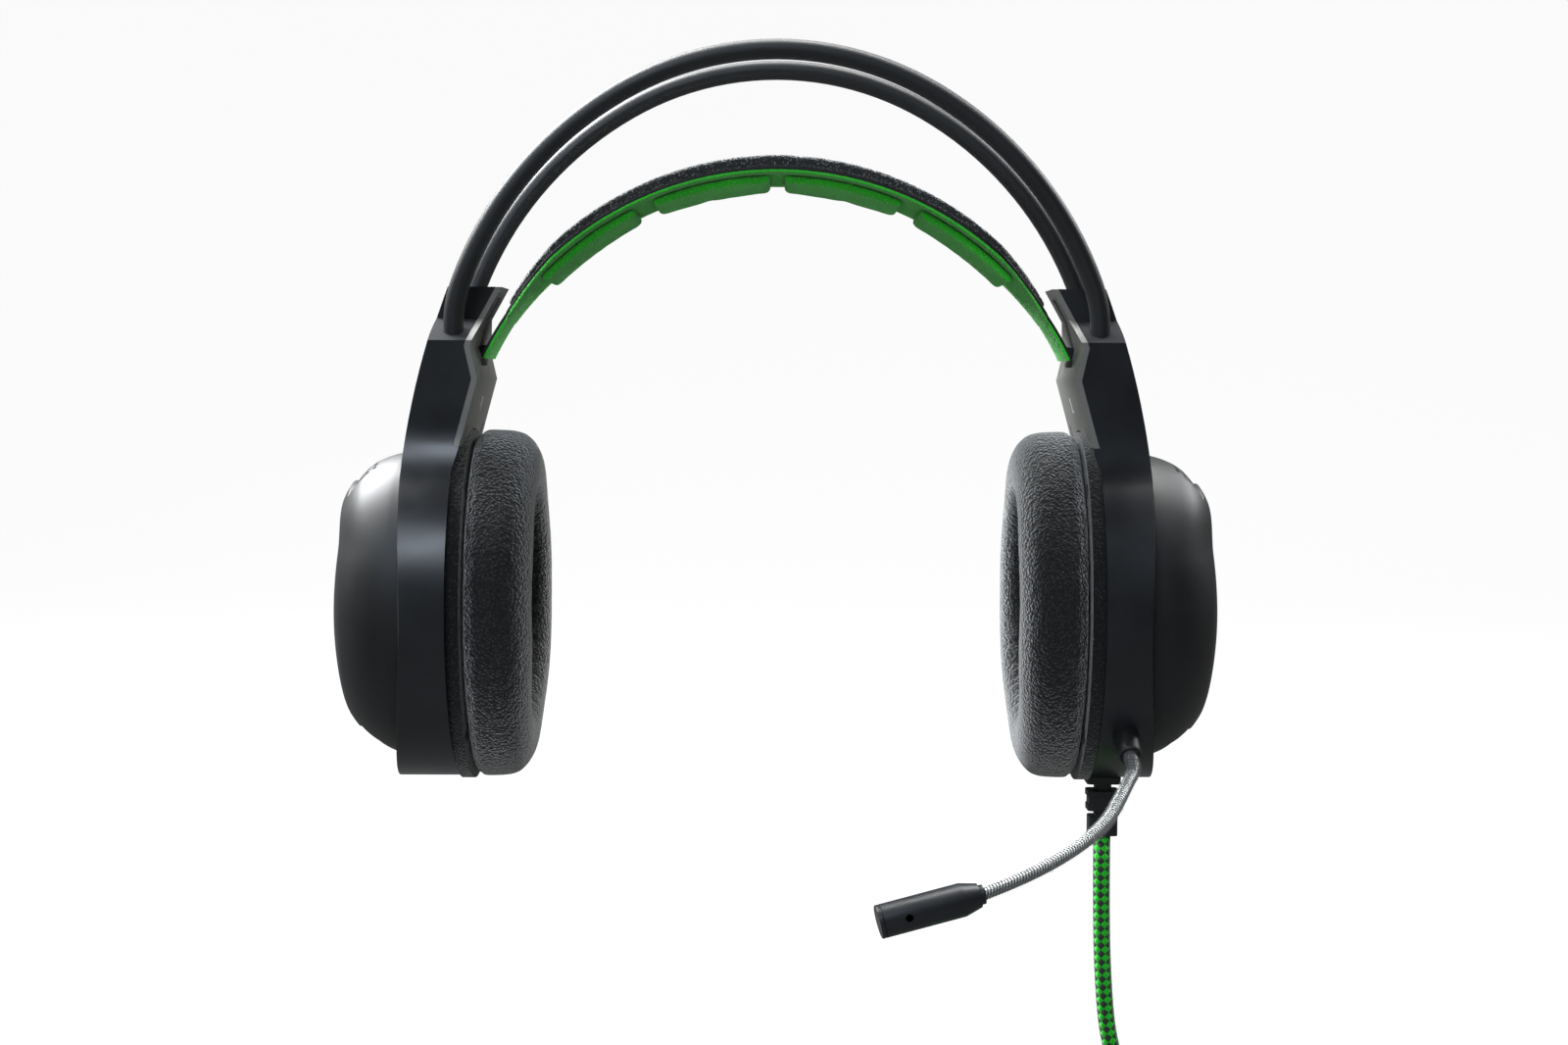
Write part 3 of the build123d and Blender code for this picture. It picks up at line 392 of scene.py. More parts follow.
def moulded_copy(node, name, material, edge=None, angle=32.0, body="headset"):
    """A piece with the exact shape of its CAD node, merged, smooth, and with rounded edges."""
    obj = new_object(name, NODES[node].data.copy())
    work = bmesh.new()
    work.from_mesh(obj.data)
    bmesh.ops.remove_doubles(work, verts=work.verts, dist=2e-6)
    bmesh.ops.dissolve_limit(work, angle_limit=radians(0.4), verts=work.verts, edges=work.edges)
    for item in work.edges:
        item.smooth = item.calc_face_angle(pi) < radians(angle)
    for face in work.faces:
        face.smooth = True
    work.to_mesh(obj.data)
    work.free()
    if edge:
        modifier = obj.modifiers.new("edges", "BEVEL")
        modifier.width = edge
        modifier.segments = 2
        modifier.limit_method = "ANGLE"
        modifier.angle_limit = radians(angle)
        modifier.harden_normals = True
    dress(obj, material)
    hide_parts(node)
    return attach(obj, body)


def frames_along(points):
    """Unit tangent and two normals at each point, carried along without twist."""
    line = [Vector(p) for p in points]
    tangents = []
    for index in range(len(line)):
        before, after = line[max(index - 1, 0)], line[min(index + 1, len(line) - 1)]
        tangents.append((after - before).normalized())
    normal = tangents[0].orthogonal().normalized()
    frames = []
    for tangent in tangents:
        normal = (normal - tangent * normal.dot(tangent)).normalized()
        frames.append((tangent, normal, tangent.cross(normal)))
    return frames


def tube_mesh(name, points, radius, around=20, repeat=None, closed_ends=True):
    """A tube along points. radius is a number or a function of the distance along it."""
    line = [Vector(p) for p in points]
    run = [0.0]
    for first, second in zip(line, line[1:]):
        run.append(run[-1] + (second - first).length)
    corners, faces, lays = [], [], []
    for place, (_, across, other), distance in zip(line, frames_along(line), run):
        size = radius(distance) if callable(radius) else radius
        for step in range(around):
            turn = 2 * pi * step / around
            corners.append(place + (across * cos(turn) + other * sin(turn)) * size)
    for ring in range(len(line) - 1):
        for step in range(around):
            after = (step + 1) % around
            a, b = ring * around + step, ring * around + after
            faces.append((a, b, b + around, a + around))
            low, high = run[ring], run[ring + 1]
            lays.append(((low, step / around), (low, (step + 1) / around),
                         (high, (step + 1) / around), (high, step / around)))
    if closed_ends:
        faces.append(tuple(reversed(range(around))))
        faces.append(tuple(range((len(line) - 1) * around, len(line) * around)))
    obj = mesh_object(name, corners, faces)
    layer = obj.data.uv_layers.new(name="lay")
    unit = repeat or 1.0
    for polygon, spots in zip(obj.data.polygons, lays):
        for loop, (u, v) in zip(polygon.loop_indices, spots):
            layer.data[loop].uv = (u / unit, v)
    return finish_mesh(obj, merge=0)


def nurbs_points(name, control, resolution=8):
    """Points along the smooth NURBS line of a route."""
    curve = bpy.data.curves.new(name, "CURVE")
    curve.dimensions = "3D"
    spline = curve.splines.new("NURBS")
    spline.points.add(len(control) - 1)
    for point, place in zip(spline.points, control):
        point.co = (*place, 1.0)
    spline.order_u = 3
    spline.use_endpoint_u = True
    spline.resolution_u = resolution
    obj = bpy.data.objects.new(name, curve)
    mesh = bpy.data.meshes.new_from_object(obj)
    points = [v.co.copy() for v in mesh.vertices]
    bpy.data.objects.remove(obj)
    return points


def apply_modifiers(obj):
    """Replace the mesh by what its modifiers make of it."""
    bpy.context.view_layer.update()
    evaluated = obj.evaluated_get(bpy.context.evaluated_depsgraph_get())
    mesh = bpy.data.meshes.new_from_object(evaluated)
    obj.modifiers.clear()
    obj.data = mesh
    return obj


def mirrored(obj, name):
    """The same piece for the other side of the headset."""
    twin = new_object(name, obj.data.copy())
    twin.data.transform(Matrix.Scale(-1, 4, (1, 0, 0)))
    twin.data.flip_normals()
    return twin


# ---- Geometry Nodes ----
def rings_on_line(name, line, ring_radius, wire, pitch, material, tilt=0.0):
    """Turns of a spring along a poly line: a small ring instanced at every pitch, as one plain mesh."""
    curve = bpy.data.curves.new(name, "CURVE")
    curve.dimensions = "3D"
    spline = curve.splines.new("POLY")
    spline.points.add(len(line) - 1)
    for point, place in zip(spline.points, line):
        point.co = (*place, 1.0)
    obj = new_object(name, curve)
    group = bpy.data.node_groups.get("spring_turns") or spring_turns_tree()
    modifier = obj.modifiers.new("turns", "NODES")
    modifier.node_group = group
    wanted = {"Ring radius": ring_radius, "Wire radius": wire, "Pitch": pitch, "Tilt": tilt,
              "Material": material}
    for item in group.interface.items_tree:
        if item.in_out == "INPUT" and item.name in wanted:
            modifier[item.identifier] = wanted[item.name]
    bpy.context.view_layer.update()
    mesh = bpy.data.meshes.new_from_object(obj.evaluated_get(bpy.context.evaluated_depsgraph_get()))
    bpy.data.objects.remove(obj)
    made = new_object(name, mesh)
    mesh.shade_smooth()
    return made


def spring_turns_tree():
    group = bpy.data.node_groups.new("spring_turns", "GeometryNodeTree")
    face = group.interface
    face.new_socket(name="Geometry", in_out="INPUT", socket_type="NodeSocketGeometry")
    for label, default in (("Ring radius", 0.0015), ("Wire radius", 0.0003), ("Pitch", 0.0009),
                           ("Tilt", 0.0)):
        face.new_socket(name=label, in_out="INPUT", socket_type=FLOAT).default_value = default
    face.new_socket(name="Material", in_out="INPUT", socket_type="NodeSocketMaterial")
    face.new_socket(name="Geometry", in_out="OUTPUT", socket_type="NodeSocketGeometry")
    tree = Tree(group)
    given = tree.add("NodeGroupInput").outputs
    places = tree.add("GeometryNodeCurveToPoints", mode="LENGTH")
    ring, wire = [tree.add("GeometryNodeCurvePrimitiveCircle") for _ in range(2)]
    ring.inputs["Resolution"].default_value = RING_STEPS
    wire.inputs["Resolution"].default_value = WIRE_STEPS
    solid = tree.add("GeometryNodeCurveToMesh")
    lean = tree.add("FunctionNodeRotateRotation", rotation_space="LOCAL")
    turn = tree.add("FunctionNodeEulerToRotation")
    angles = tree.add("ShaderNodeCombineXYZ")
    copies = tree.add("GeometryNodeInstanceOnPoints")
    real = tree.add("GeometryNodeRealizeInstances")
    paint = tree.add("GeometryNodeSetMaterial")
    for out, into in ((given["Geometry"], places.inputs["Curve"]), (given["Pitch"], places.inputs["Length"]),
                      (given["Ring radius"], ring.inputs["Radius"]),
                      (given["Wire radius"], wire.inputs["Radius"]),
                      (ring.outputs["Curve"], solid.inputs["Curve"]),
                      (wire.outputs["Curve"], solid.inputs["Profile Curve"]),
                      (given["Tilt"], angles.inputs["X"]), (angles.outputs[0], turn.inputs[0]),
                      (places.outputs["Rotation"], lean.inputs[0]), (turn.outputs[0], lean.inputs[1]),
                      (places.outputs["Points"], copies.inputs["Points"]),
                      (solid.outputs["Mesh"], copies.inputs["Instance"]),
                      (lean.outputs[0], copies.inputs["Rotation"]),
                      (copies.outputs["Instances"], real.inputs[0]),
                      (real.outputs[0], paint.inputs["Geometry"]),
                      (given["Material"], paint.inputs["Material"]),
                      (paint.outputs[0], tree.add("NodeGroupOutput").inputs[0])):
        tree.join(out, into)
    return group


# ---- Headband, housings and covers ----
class HEADSET_OT_tubes(bpy.types.Operator):
    """Make the two headband tubes"""

    bl_idname = "headset.tubes"
    bl_label = "Headband tubes"

    def execute(self, context):
        coat = plastic("tube_coating", colours().coating, 0.50, grain=1800.0, relief=0.000006, light=1.25)
        for name in ("front_bow_tube", "rear_bow_tube"):
            moulded_copy(name, name.replace("bow_tube", "bow"), coat)
        return {"FINISHED"}


class HEADSET_OT_housings(bpy.types.Operator):
    """Make the arms with their cup rings, and the covers inside them"""

    bl_idname = "headset.housings"
    bl_label = "Arms and rings"

    def execute(self, context):
        black = plastic("housing_plastic", colours().plastic, 0.33, relief=0.00002)
        # The inner covers' grey is a painted reflection of the bright surroundings on black plastic.
        inner = plastic("inner_plastic", colours().inner_plate_painted_reflection, 0.38, light=1.15)
        matte = plastic("ledge_plastic", colours().plastic, 0.85, grain=1500.0, relief=0.0001,
                        Specular_IOR_Level=0.2)
        pale = plastic("letter_ink", (0.45, 0.45, 0.44), 0.5)
        for side, sign in SIDES.items():
            arm = moulded_copy(f"arm_housing_{side}", f"arm_{side}", black, sizes().edge)
            arm.data.materials.append(matte)
            for face in arm.data.polygons:
                if face.normal.z > 0.8 and LEDGE_LOW < face.center.z < LEDGE_HIGH:
                    face.material_index = 1
            moulded_copy(f"inner_cover_{side}", f"arm_cover_{side}", inner, sizes().edge * 0.6)
            self.letter(side, sign, pale)
        return {"FINISHED"}

    def letter(self, side, sign, material):
        """The generic side letter, printed on the inner cover."""
        text = bpy.data.curves.new(f"side_letter_{side}", "FONT")
        text.body = side[0].upper()
        text.size = LETTER_SIZE
        text.extrude = 0.00006
        text.align_x = text.align_y = "CENTER"
        maker = bpy.data.objects.new("maker", text)
        mesh = bpy.data.meshes.new_from_object(maker)
        bpy.data.objects.remove(maker)
        lean = Vector((0.0040, 0, -0.0146)).normalized()
        up = Vector((-lean.x * sign, 0, -lean.z))
        right = Vector((0, -1, 0)) * sign
        out = right.cross(up)
        place = Matrix((right, up, out)).transposed().to_4x4()
        place.translation = Vector((sign * LETTER_PLACE[0], 0, LETTER_PLACE[1])) + out * 0.00008
        mesh.transform(place)
        obj = dress(new_object(f"side_letter_{side}", mesh), material)
        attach(obj, "headset")


class HEADSET_OT_domes(bpy.types.Operator):
    """Make the domed covers, the cloth behind their vents, and the parts inside the cups"""

    bl_idname = "headset.domes"
    bl_label = "Outer covers and cups"

    def execute(self, context):
        satin = plastic("dome_plastic", colours().dome, 0.50, relief=0.00002)
        cloth = fabric("vent_cloth", (0.004, 0.004, 0.004), (0.02, 0.02, 0.02), 2600.0, 0.0001, sheen=0.1)
        frame_black = plastic("frame_plastic", (0.02, 0.02, 0.02), 0.5)
        film = plastic("diaphragm_film", (0.25, 0.25, 0.23), 0.2, relief=0.00001)
        steel = metal("magnet_steel", (0.5, 0.5, 0.5), 0.35)
        scrim = fabric("scrim_cloth", (0.006, 0.006, 0.0065), (0.03, 0.03, 0.03), 1500.0, 0.0002, sheen=0.2)
        for side in SIDES:
            dome = moulded_copy(f"dome_cover_{side}", f"dome_{side}", satin, angle=38.0)
            self.shoulder(dome)
            for node, material in (("baffle", frame_black), ("driver_basket", frame_black),
                                   ("driver_diaphragm", film), ("driver_magnet", steel),
                                   ("tube_clamp", frame_black)):
                dress(NODES[f"{node}_{side}"], material)
            self.cloths(side, cloth, scrim)
            dress(NODES[f"return_elastic_{side}"], plastic("elastic", (0.012, 0.012, 0.012), 0.7))
        screws = metal("screw_steel", (0.45, 0.45, 0.45), 0.3)
        for node, material in (("clamp_screws", screws), ("cup_screws", screws), ("mic_element", steel),
                               ("junction_board", plastic("circuit_board", (0.01, 0.12, 0.04), 0.4)),
                               ("crossover_lead", plastic("wire", (0.01, 0.01, 0.01), 0.5))):
            dress(NODES[node], material)
        return {"FINISHED"}

    def cloths(self, side, cloth, scrim):
        """Dark cloth glued behind each vent, and the scrim stretched across the ear opening."""
        for place, sign, run in (("upper", 1, 0.0128), ("lower", -1, 0.0119)):
            piece = moulded_copy(f"vent_cloth_{side}", f"vent_cloth_{place}_{side}", cloth)
            work = bmesh.new()
            work.from_mesh(piece.data)
            bmesh.ops.delete(work, geom=[v for v in work.verts if v.co.z * sign < 0], context="VERTS")
            work.to_mesh(piece.data)
            work.free()
        piece = moulded_copy(f"scrim_cloth_{side}", f"scrim_{side}", scrim)

    def shoulder(self, dome):
        """Flatten the dome's middle a little and square its upper shoulder."""
        places = coordinates(dome)
        side = np.sign(places[:, 0])
        reach = np.abs(places[:, 0])

        def eased(value, low, high):
            part = np.clip((value - low) / (high - low), 0, 1)
            return part * part * (3 - 2 * part)

        flat = 0.0014 * eased(reach, 0.1205, 0.1260)
        square = 0.0022 * eased(places[:, 2], 0.016, 0.034) * eased(reach, 0.106, 0.114)
        places[:, 0] = side * (reach - flat + square)
        set_coordinates(dome, places)


# ---- Padded pieces ----
def soft_copy(node, name, shrink, voxel):
    """A remeshed copy of a soft CAD solid, pulled in a little so that it can swell."""
    obj = new_object(name, NODES[node].data.copy())
    finish_mesh(obj, 2e-6, outward=False)
    normals = [v.normal.copy() for v in obj.data.vertices]
    for vertex, normal in zip(obj.data.vertices, normals):
        vertex.co -= normal * shrink
    even = obj.modifiers.new("even", "REMESH")
    even.mode = "VOXEL"
    even.voxel_size = voxel
    apply_modifiers(obj)
    obj.data.shade_smooth()
    return obj


def coordinates(obj, kind="co"):
    flat = np.empty(len(obj.data.vertices) * 3)
    obj.data.vertices.foreach_get(kind, flat)
    return flat.reshape(-1, 3)


def set_coordinates(obj, places):
    obj.data.vertices.foreach_set("co", np.asarray(places, float).ravel())
    obj.data.update()


def swell(obj, cap, held, pressure=4.0, frames=20):
    """Let the cloth swell under pressure, with the held points fixed and every point moving at most cap."""
    rest = coordinates(obj)
    group = obj.vertex_groups.new(name="held")
    group.add([int(i) for i in np.nonzero(held(rest))[0]], 1.0, "REPLACE")
    cloth = obj.modifiers.new("cloth", "CLOTH")
    cloth.settings.use_pressure = True
    cloth.settings.uniform_pressure_force = pressure
    cloth.settings.effector_weights.gravity = 0.0
    cloth.settings.vertex_group_mass = "held"
    scene = bpy.context.scene
    for frame_number in range(1, frames + 1):
        scene.frame_set(frame_number)
    moved = coordinates(obj.evaluated_get(bpy.context.evaluated_depsgraph_get())) - rest
    obj.modifiers.clear()
    obj.vertex_groups.clear()
    scene.frame_set(1)
    size = np.linalg.norm(moved, axis=1, keepdims=True)
    set_coordinates(obj, rest + moved * np.minimum(1.0, cap / np.maximum(size, 1e-9)))
    return obj


def smoothed(obj, times, subdivide=0):
    """Even out the remeshed steps."""
    relax = obj.modifiers.new("relax", "SMOOTH")
    relax.factor = 0.5
    relax.iterations = times
    if subdivide:
        finer = obj.modifiers.new("finer", "SUBSURF")
        finer.levels = finer.render_levels = subdivide
    apply_modifiers(obj)
    obj.data.shade_smooth()
    return obj


def push(obj, amount):
    """Move every point along its normal by amount(places, normals)."""
    places, normals = coordinates(obj), coordinates(obj, "normal")
    set_coordinates(obj, places + normals * amount(places, normals)[:, None])
    return obj


class HEADSET_OT_cushions(bpy.types.Operator):
    """Make the ear cushions and the plates that hold them"""

    bl_idname = "headset.cushions"
    bl_label = "Ear cushions"

    def execute(self, context):
        cloth = self.cloth()
        trim = fabric("cushion_trim", (0.008, 0.008, 0.0085), (0.05, 0.052, 0.055), 1300.0, 0.0003, sheen=0.4)
        low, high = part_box("ear_cushion_left")
        back = high.x
        left = soft_copy("ear_cushion_left", "ear_cushion_cover_left", 0.0009, 0.0021)
        swell(left, 0.0012, lambda places: places[:, 0] > back - 0.003)
        smoothed(left, 3, 1)
        push(left, lambda places, normals: self.puckers(places, high))
        self.lean(left, low, high)
        right = mirrored(left, "ear_cushion_cover_right")
        for side, obj in (("left", left), ("right", right)):
            dress(obj, cloth)
            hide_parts(f"ear_cushion_{side}")
            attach(obj, "headset")
            moulded_copy(f"cushion_plate_{side}", f"cushion_rim_{side}", trim)
        return {"FINISHED"}

    def cloth(self):
        """The cushions' fabric, with fine gathers running out from the ear opening."""
        material, tree, shader = blank("cushion_fabric", Sheen_Weight=0.8, Sheen_Roughness=0.4, Roughness=0.9,
                                       Specular_IOR_Level=0.3)
        knit = group_node(tree, "knitted", Scale=1250.0)
        ground = tree.mix(knit.outputs["Patches"], opaque([c * 0.7 for c in colours().cushion]),
                          opaque(colours().cushion))
        threads = tree.mix(knit.outputs["Bright"], ground, (0.042, 0.044, 0.046, 1))
        tree.join(threads, shader.inputs["Base Color"])
        parts = tree.add("ShaderNodeSeparateXYZ")
        tree.join(tree.add("ShaderNodeTexCoord").outputs["Object"], parts.inputs[0])
        across = tree.math("MULTIPLY", parts.outputs["Y"], 1 / OPENING_HALF_WIDTH)
        up = tree.math("MULTIPLY", parts.outputs["Z"], 1 / OPENING_HALF_HEIGHT)
        angle = tree.math("ARCTAN2", up, across)
        reach = tree.math("SQRT", tree.math("MULTIPLY_ADD", across, across, tree.math("MULTIPLY", up, up)))
        streak = tree.add("ShaderNodeCombineXYZ")
        tree.join(tree.math("MULTIPLY", angle, 13.0), streak.inputs["X"])
        tree.join(tree.math("MULTIPLY", reach, 1.6), streak.inputs["Y"])
        gathers = tree.noise(streak.outputs[0], 1.6, 2.0, 0.6)
        near = tree.span(reach, 1.0, 1.62, 1.7, 0.0)
        height = tree.math("MULTIPLY_ADD", gathers, near, knit.outputs["Height"])
        bump(tree, shader, height, 1.0, 0.0005)
        return material

    def lean(self, obj, low, high):
        """Gravity and the band leave the lower half of the cushion thinner, and its top a little fuller."""
        places = coordinates(obj)
        free = np.clip((high.x - places[:, 0]) / (high.x - low.x), 0, 1)
        down = np.clip((-0.006 - places[:, 2]) / 0.04, 0, 1)
        up = np.clip((places[:, 2] - 0.030) / 0.02, 0, 1)
        places[:, 0] += free * (0.0022 * down ** 1.5 + 0.0006)
        places[:, 2] += up * 0.0007
        set_coordinates(obj, places)

    def puckers(self, places, high):
        """Small gathers round the ear opening, and a seam near the plate."""
        across, up = places[:, 1] / OPENING_HALF_WIDTH, places[:, 2] / OPENING_HALF_HEIGHT
        angle = np.arctan2(up, across)
        reach = np.hypot(across, up) - 1.0
        near = np.exp(-np.clip(reach, 0, None) * 7.0)
        gathers = 0.00018 * near * (np.sin(angle * 34) + 0.6 * np.sin(angle * 53 + 1.3))
        outside = np.hypot(places[:, 1] / high.y, places[:, 2] / high.z) > 0.93
        seam = np.exp(-((high.x - 0.0022 - places[:, 0]) / 0.0009) ** 2)
        slack = 0.00018 * np.sin(angle * 5 + 0.7) * np.sin(angle * 3)
        return gathers - 0.0006 * seam * outside + slack


class HEADSET_OT_pad(bpy.types.Operator):
    """Make the suspended head pad with its cushions, and the straps at its ends"""

    bl_idname = "headset.pad"
    bl_label = "Head pad"

    def execute(self, context):
        grey = fabric("pad_fabric", colours().pad, (0.34, 0.35, 0.355), 1400.0, 0.0004, sheen=0.9)
        green = fabric("green_fabric", colours().green, [min(1, c * 1.5 + 0.05) for c in colours().green],
                       1500.0, 0.0003, sheen=0.3)
        black = plastic("strap_edge", (0.006, 0.006, 0.006), 0.5)
        cover = soft_copy("pad_cover", "pad_top", 0.0, 0.0009)
        smoothed(cover, 6)
        self.settle(cover, grey, "pad_fabric", ["pad_cover"], 0.5)
        for number in (1, 2):
            left = soft_copy(f"pad_cushion_left_{number}", f"pad_segment_left_{number}", 0.0003, 0.0011)
            swell(left, 0.0011, self.roof)
            smoothed(left, 4, 1)
            right = mirrored(left, f"pad_segment_right_{number}")
            for side, obj in (("left", left), ("right", right)):
                self.settle(obj, green, "green_fabric", [f"pad_cushion_{side}_{number}"], 0.6)
        liner = moulded_copy("pad_liner", "pad_underside", green, 0.0003, body="pad")
        moulded_copy("pad_stiffener", "pad_strip", black, 0.0002, body="pad")
        for side, sign in SIDES.items():
            self.strap(side, sign, black, green)
        return {"FINISHED"}

    def settle(self, obj, material, slot, nodes, fill):
        dress(obj, material)
        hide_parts(*nodes)
        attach(obj, "pad")

    def roof(self, places):
        """The face against the liner stays put."""
        away = np.hypot(places[:, 0], places[:, 2] - STRAP_CENTRE_Z)
        return away > away.max() - 0.0007

    def strap(self, side, sign, black, green):
        """Webbing from the pad's end to the slot in the arm, bending between pad and slider."""
        low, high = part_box(f"strap_slider_{side}")
        half = high.y - 0.0001
        start = sqrt(STRAP_RADIUS ** 2 - PAD_END_X ** 2)
        first = np.arctan2(start, PAD_END_X - STRAP_THICKNESS)
        last = np.arcsin((STRAP_LOWEST_Z - STRAP_CENTRE_Z) / STRAP_RADIUS)
        points, faces, shades = [], [], []
        middle = STRAP_RADIUS - STRAP_THICKNESS
        for outer, inner, shade in ((STRAP_RADIUS - 0.00004, middle, 0),
                                    (middle, STRAP_RADIUS - 0.00156, 1)):
            base, steps = len(points), STRAP_STEPS
            rows = ((outer, -half), (outer, half), (inner, half), (inner, -half))
            for step in range(steps + 1):
                angle = first + (last - first) * step / steps
                for radius, across in rows:
                    points.append((sign * radius * cos(angle), across, STRAP_CENTRE_Z + radius * sin(angle)))
            for step in range(steps):
                for corner in range(4):
                    a, b = base + step * 4 + corner, base + step * 4 + (corner + 1) % 4
                    faces.append((a, b, b + 4, a + 4))
                    shades.append(shade)
            for end in (base, base + steps * 4):
                faces.append((end, end + 1, end + 2, end + 3))
                shades.append(shade)
        obj = mesh_object(f"strap_{side}", points, faces, smooth=False)
        finish_mesh(obj, 0)
        dress(obj, black, green)
        for polygon, shade in zip(obj.data.polygons, shades):
            polygon.material_index = shade
        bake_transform(obj)
        stem = self.stem(side, sign, low, high, black)
        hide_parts(f"strap_slider_{side}")

    def stem(self, side, sign, low, high, black):
        """The slider's neck through the slot and its foot behind the cover."""
        outer = high.x if sign > 0 else -low.x
        boxes = [((0.0815, outer), 0.0024, (0.0708, 0.0742)), ((0.0884, outer), 0.0055, (0.0697, 0.0749))]
        points, faces = [], []
        for (x0, x1), half, (z0, z1) in boxes:
            base = len(points)
            points += [(sign * x, y, z) for x in (x0, x1) for y in (-half, half) for z in (z0, z1)]
            faces += [tuple(base + i for i in face) for face in ((0, 1, 3, 2), (4, 6, 7, 5), (0, 4, 5, 1),
                                                                (2, 3, 7, 6), (0, 2, 6, 4), (1, 5, 7, 3))]
        obj = finish_mesh(mesh_object(f"strap_stem_{side}", points, faces, smooth=False), 0)
        soften = obj.modifiers.new("edges", "BEVEL")
        soften.width, soften.segments = 0.0003, 2
        apply_modifiers(obj)
        dress(obj, black)
        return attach(obj, f"slider_{side}")


# ---- Microphone ----
MOUTH = Vector((0.0966, -0.0370, -0.0373))
BOOT_AXIS = Vector((0.02, -0.84, -0.54)).normalized()
GOOSENECK_ROUTE = [(0.0972, -0.0395, -0.0393), (0.0965, -0.0425, -0.0411), (0.0944, -0.0465, -0.0431),
                   (0.0908, -0.0540, -0.0469), (0.0867, -0.0610, -0.0507), (0.0801, -0.0680, -0.0544),
                   (0.0714, -0.0750, -0.0580), (0.0608, -0.0805, -0.0618), (0.0526, -0.0835, -0.0642)]


def turned(name, start, axis, profile, sides=48):
    """A solid of revolution: profile is (distance along the axis, radius), closed at both ends."""
    side = axis.orthogonal().normalized()
    other = axis.cross(side)
    points, faces = [], []
    for distance, radius in profile:
        centre = start + axis * distance
        for step in range(sides):
            turn = 2 * pi * step / sides
            points.append(centre + (side * cos(turn) + other * sin(turn)) * max(radius, 1e-6))
    for ring in range(len(profile) - 1):
        for step in range(sides):
            a, b = ring * sides + step, ring * sides + (step + 1) % sides
            faces.append((a, b, b + sides, a + sides))
    faces.append(tuple(reversed(range(sides))))
    faces.append(tuple(range((len(profile) - 1) * sides, len(profile) * sides)))
    obj = mesh_object(name, points, faces)
    finish_mesh(obj, 2e-6)
    obj.data.shade_smooth()
    return obj


def hinge_place(name):
    joint = next(j for j in frame["record"]["behaviour"]["joints"] if j["name"] == name)
    return Vector(joint["pos_m"])


class HEADSET_OT_microphone(bpy.types.Operator):
    """Make the microphone: boot, gooseneck and capsule"""

    bl_idname = "headset.microphone"
    bl_label = "Microphone"

    def execute(self, context):
        rubber = plastic("boot_rubber", (0.009, 0.0095, 0.010), 0.46, relief=0.00001)
        black = plastic("mic_plastic", colours().plastic, 0.36)
        profile = [(-0.0105, 0.0030), (-0.0100, 0.0037), (-0.0050, 0.00355), (-0.0012, 0.00335),
                   (-0.0004, 0.0032), (0.0, 0.0029), (-0.0001, 0.0024), (-0.0012, 0.0021)]
        boot = dress(turned("mic_boot_cover", MOUTH, BOOT_AXIS, profile), rubber)
        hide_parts("mic_boot")
        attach(boot, "headset")
        moulded_copy("mic_shell", "mic_capsule", black, 0.0004, body="microphone")
        moulded_copy("mic_end_cap", "mic_cap", black, 0.0003, body="microphone")
        moulded_copy("mic_ferrule", "mic_collar", black, 0.00015, body="microphone")
        self.gooseneck()
        return {"FINISHED"}

    def gooseneck(self):
        spring = metal("gooseneck_spring", colours().spring, 0.33)
        # Black of the root's spring turns, and of the core that paints the shade inside the spring.
        dark = plastic("gooseneck_black_and_shade", (0.008, 0.008, 0.0085), 0.35)
        clear = sleeve_material()
        route = [MOUTH - BOOT_AXIS * 0.004, tuple(MOUTH)] + GOOSENECK_ROUTE
        line = nurbs_points("gooseneck_line", [tuple(p) for p in route], 10)
        names = ["mic_swing"] + [f"gooseneck_bend_{n}" for n in range(1, 5)]
        hinges = [hinge_place(name) for name in names]
        near = [int(np.argmin([(p - h).length for p in line])) for h in hinges]
        cuts = [0] + [(a + b) // 2 for a, b in zip(near, near[1:])] + [len(line) - 1]
        nodes = [["gooseneck_root"]] + [[f"gooseneck_segment_{n}"] for n in range(1, 4)]
        nodes.append(["gooseneck_segment_4", "gooseneck_segment_5"])
        for index, hinge in enumerate(hinges):
            part = line[cuts[index]:cuts[index + 1] + 1]
            pieces = self.section(index, part, spring, dark, clear)
            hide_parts(*nodes[index])
            for piece in pieces:
                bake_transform(piece)

    def section(self, index, part, spring, dark, clear):
        """The clear sleeve, the spring in it, and a dark core inside the spring that paints the shade between
        its turns, for one length of the gooseneck.
        """
        # Dark core: painted shade in the gaps between the spring's turns.
        shade_core = dress(tube_mesh(f"gooseneck_shade_core_{index}", part, 0.00128, 14), dark)
        sleeve = dress(tube_mesh(f"gooseneck_sleeve_{index}", part, sizes().sleeve, 28), clear)
        wound = dark if index == 0 else spring
        turns = rings_on_line(f"gooseneck_turns_{index}", part, 0.00150, 0.00026, sizes().ring_pitch, wound,
                              tilt=0.45)
        return [sleeve, shade_core, turns]


# ---- Cord ----
CORD_ROUTE = [(0.0948, 0.0, -0.0664), (0.0948, 0.0, -0.0915), (0.0962, 0.0, -0.1170)]
CORD_LANDING = [(0.0981, 0.0, -0.1290), (0.1012, 0.0, -0.1368), (0.1068, 0.0, -0.1416)]
COIL_RADIUS = 0.0275
COIL_TURNS = 7
COIL_STEPS = 16
COIL_ENTRY = 60.0
CORD_TAIL = [(0.1300, -0.0043, -0.1830), (0.1312, -0.0030, -0.1910), (0.1321, 0.0, -0.1990)]


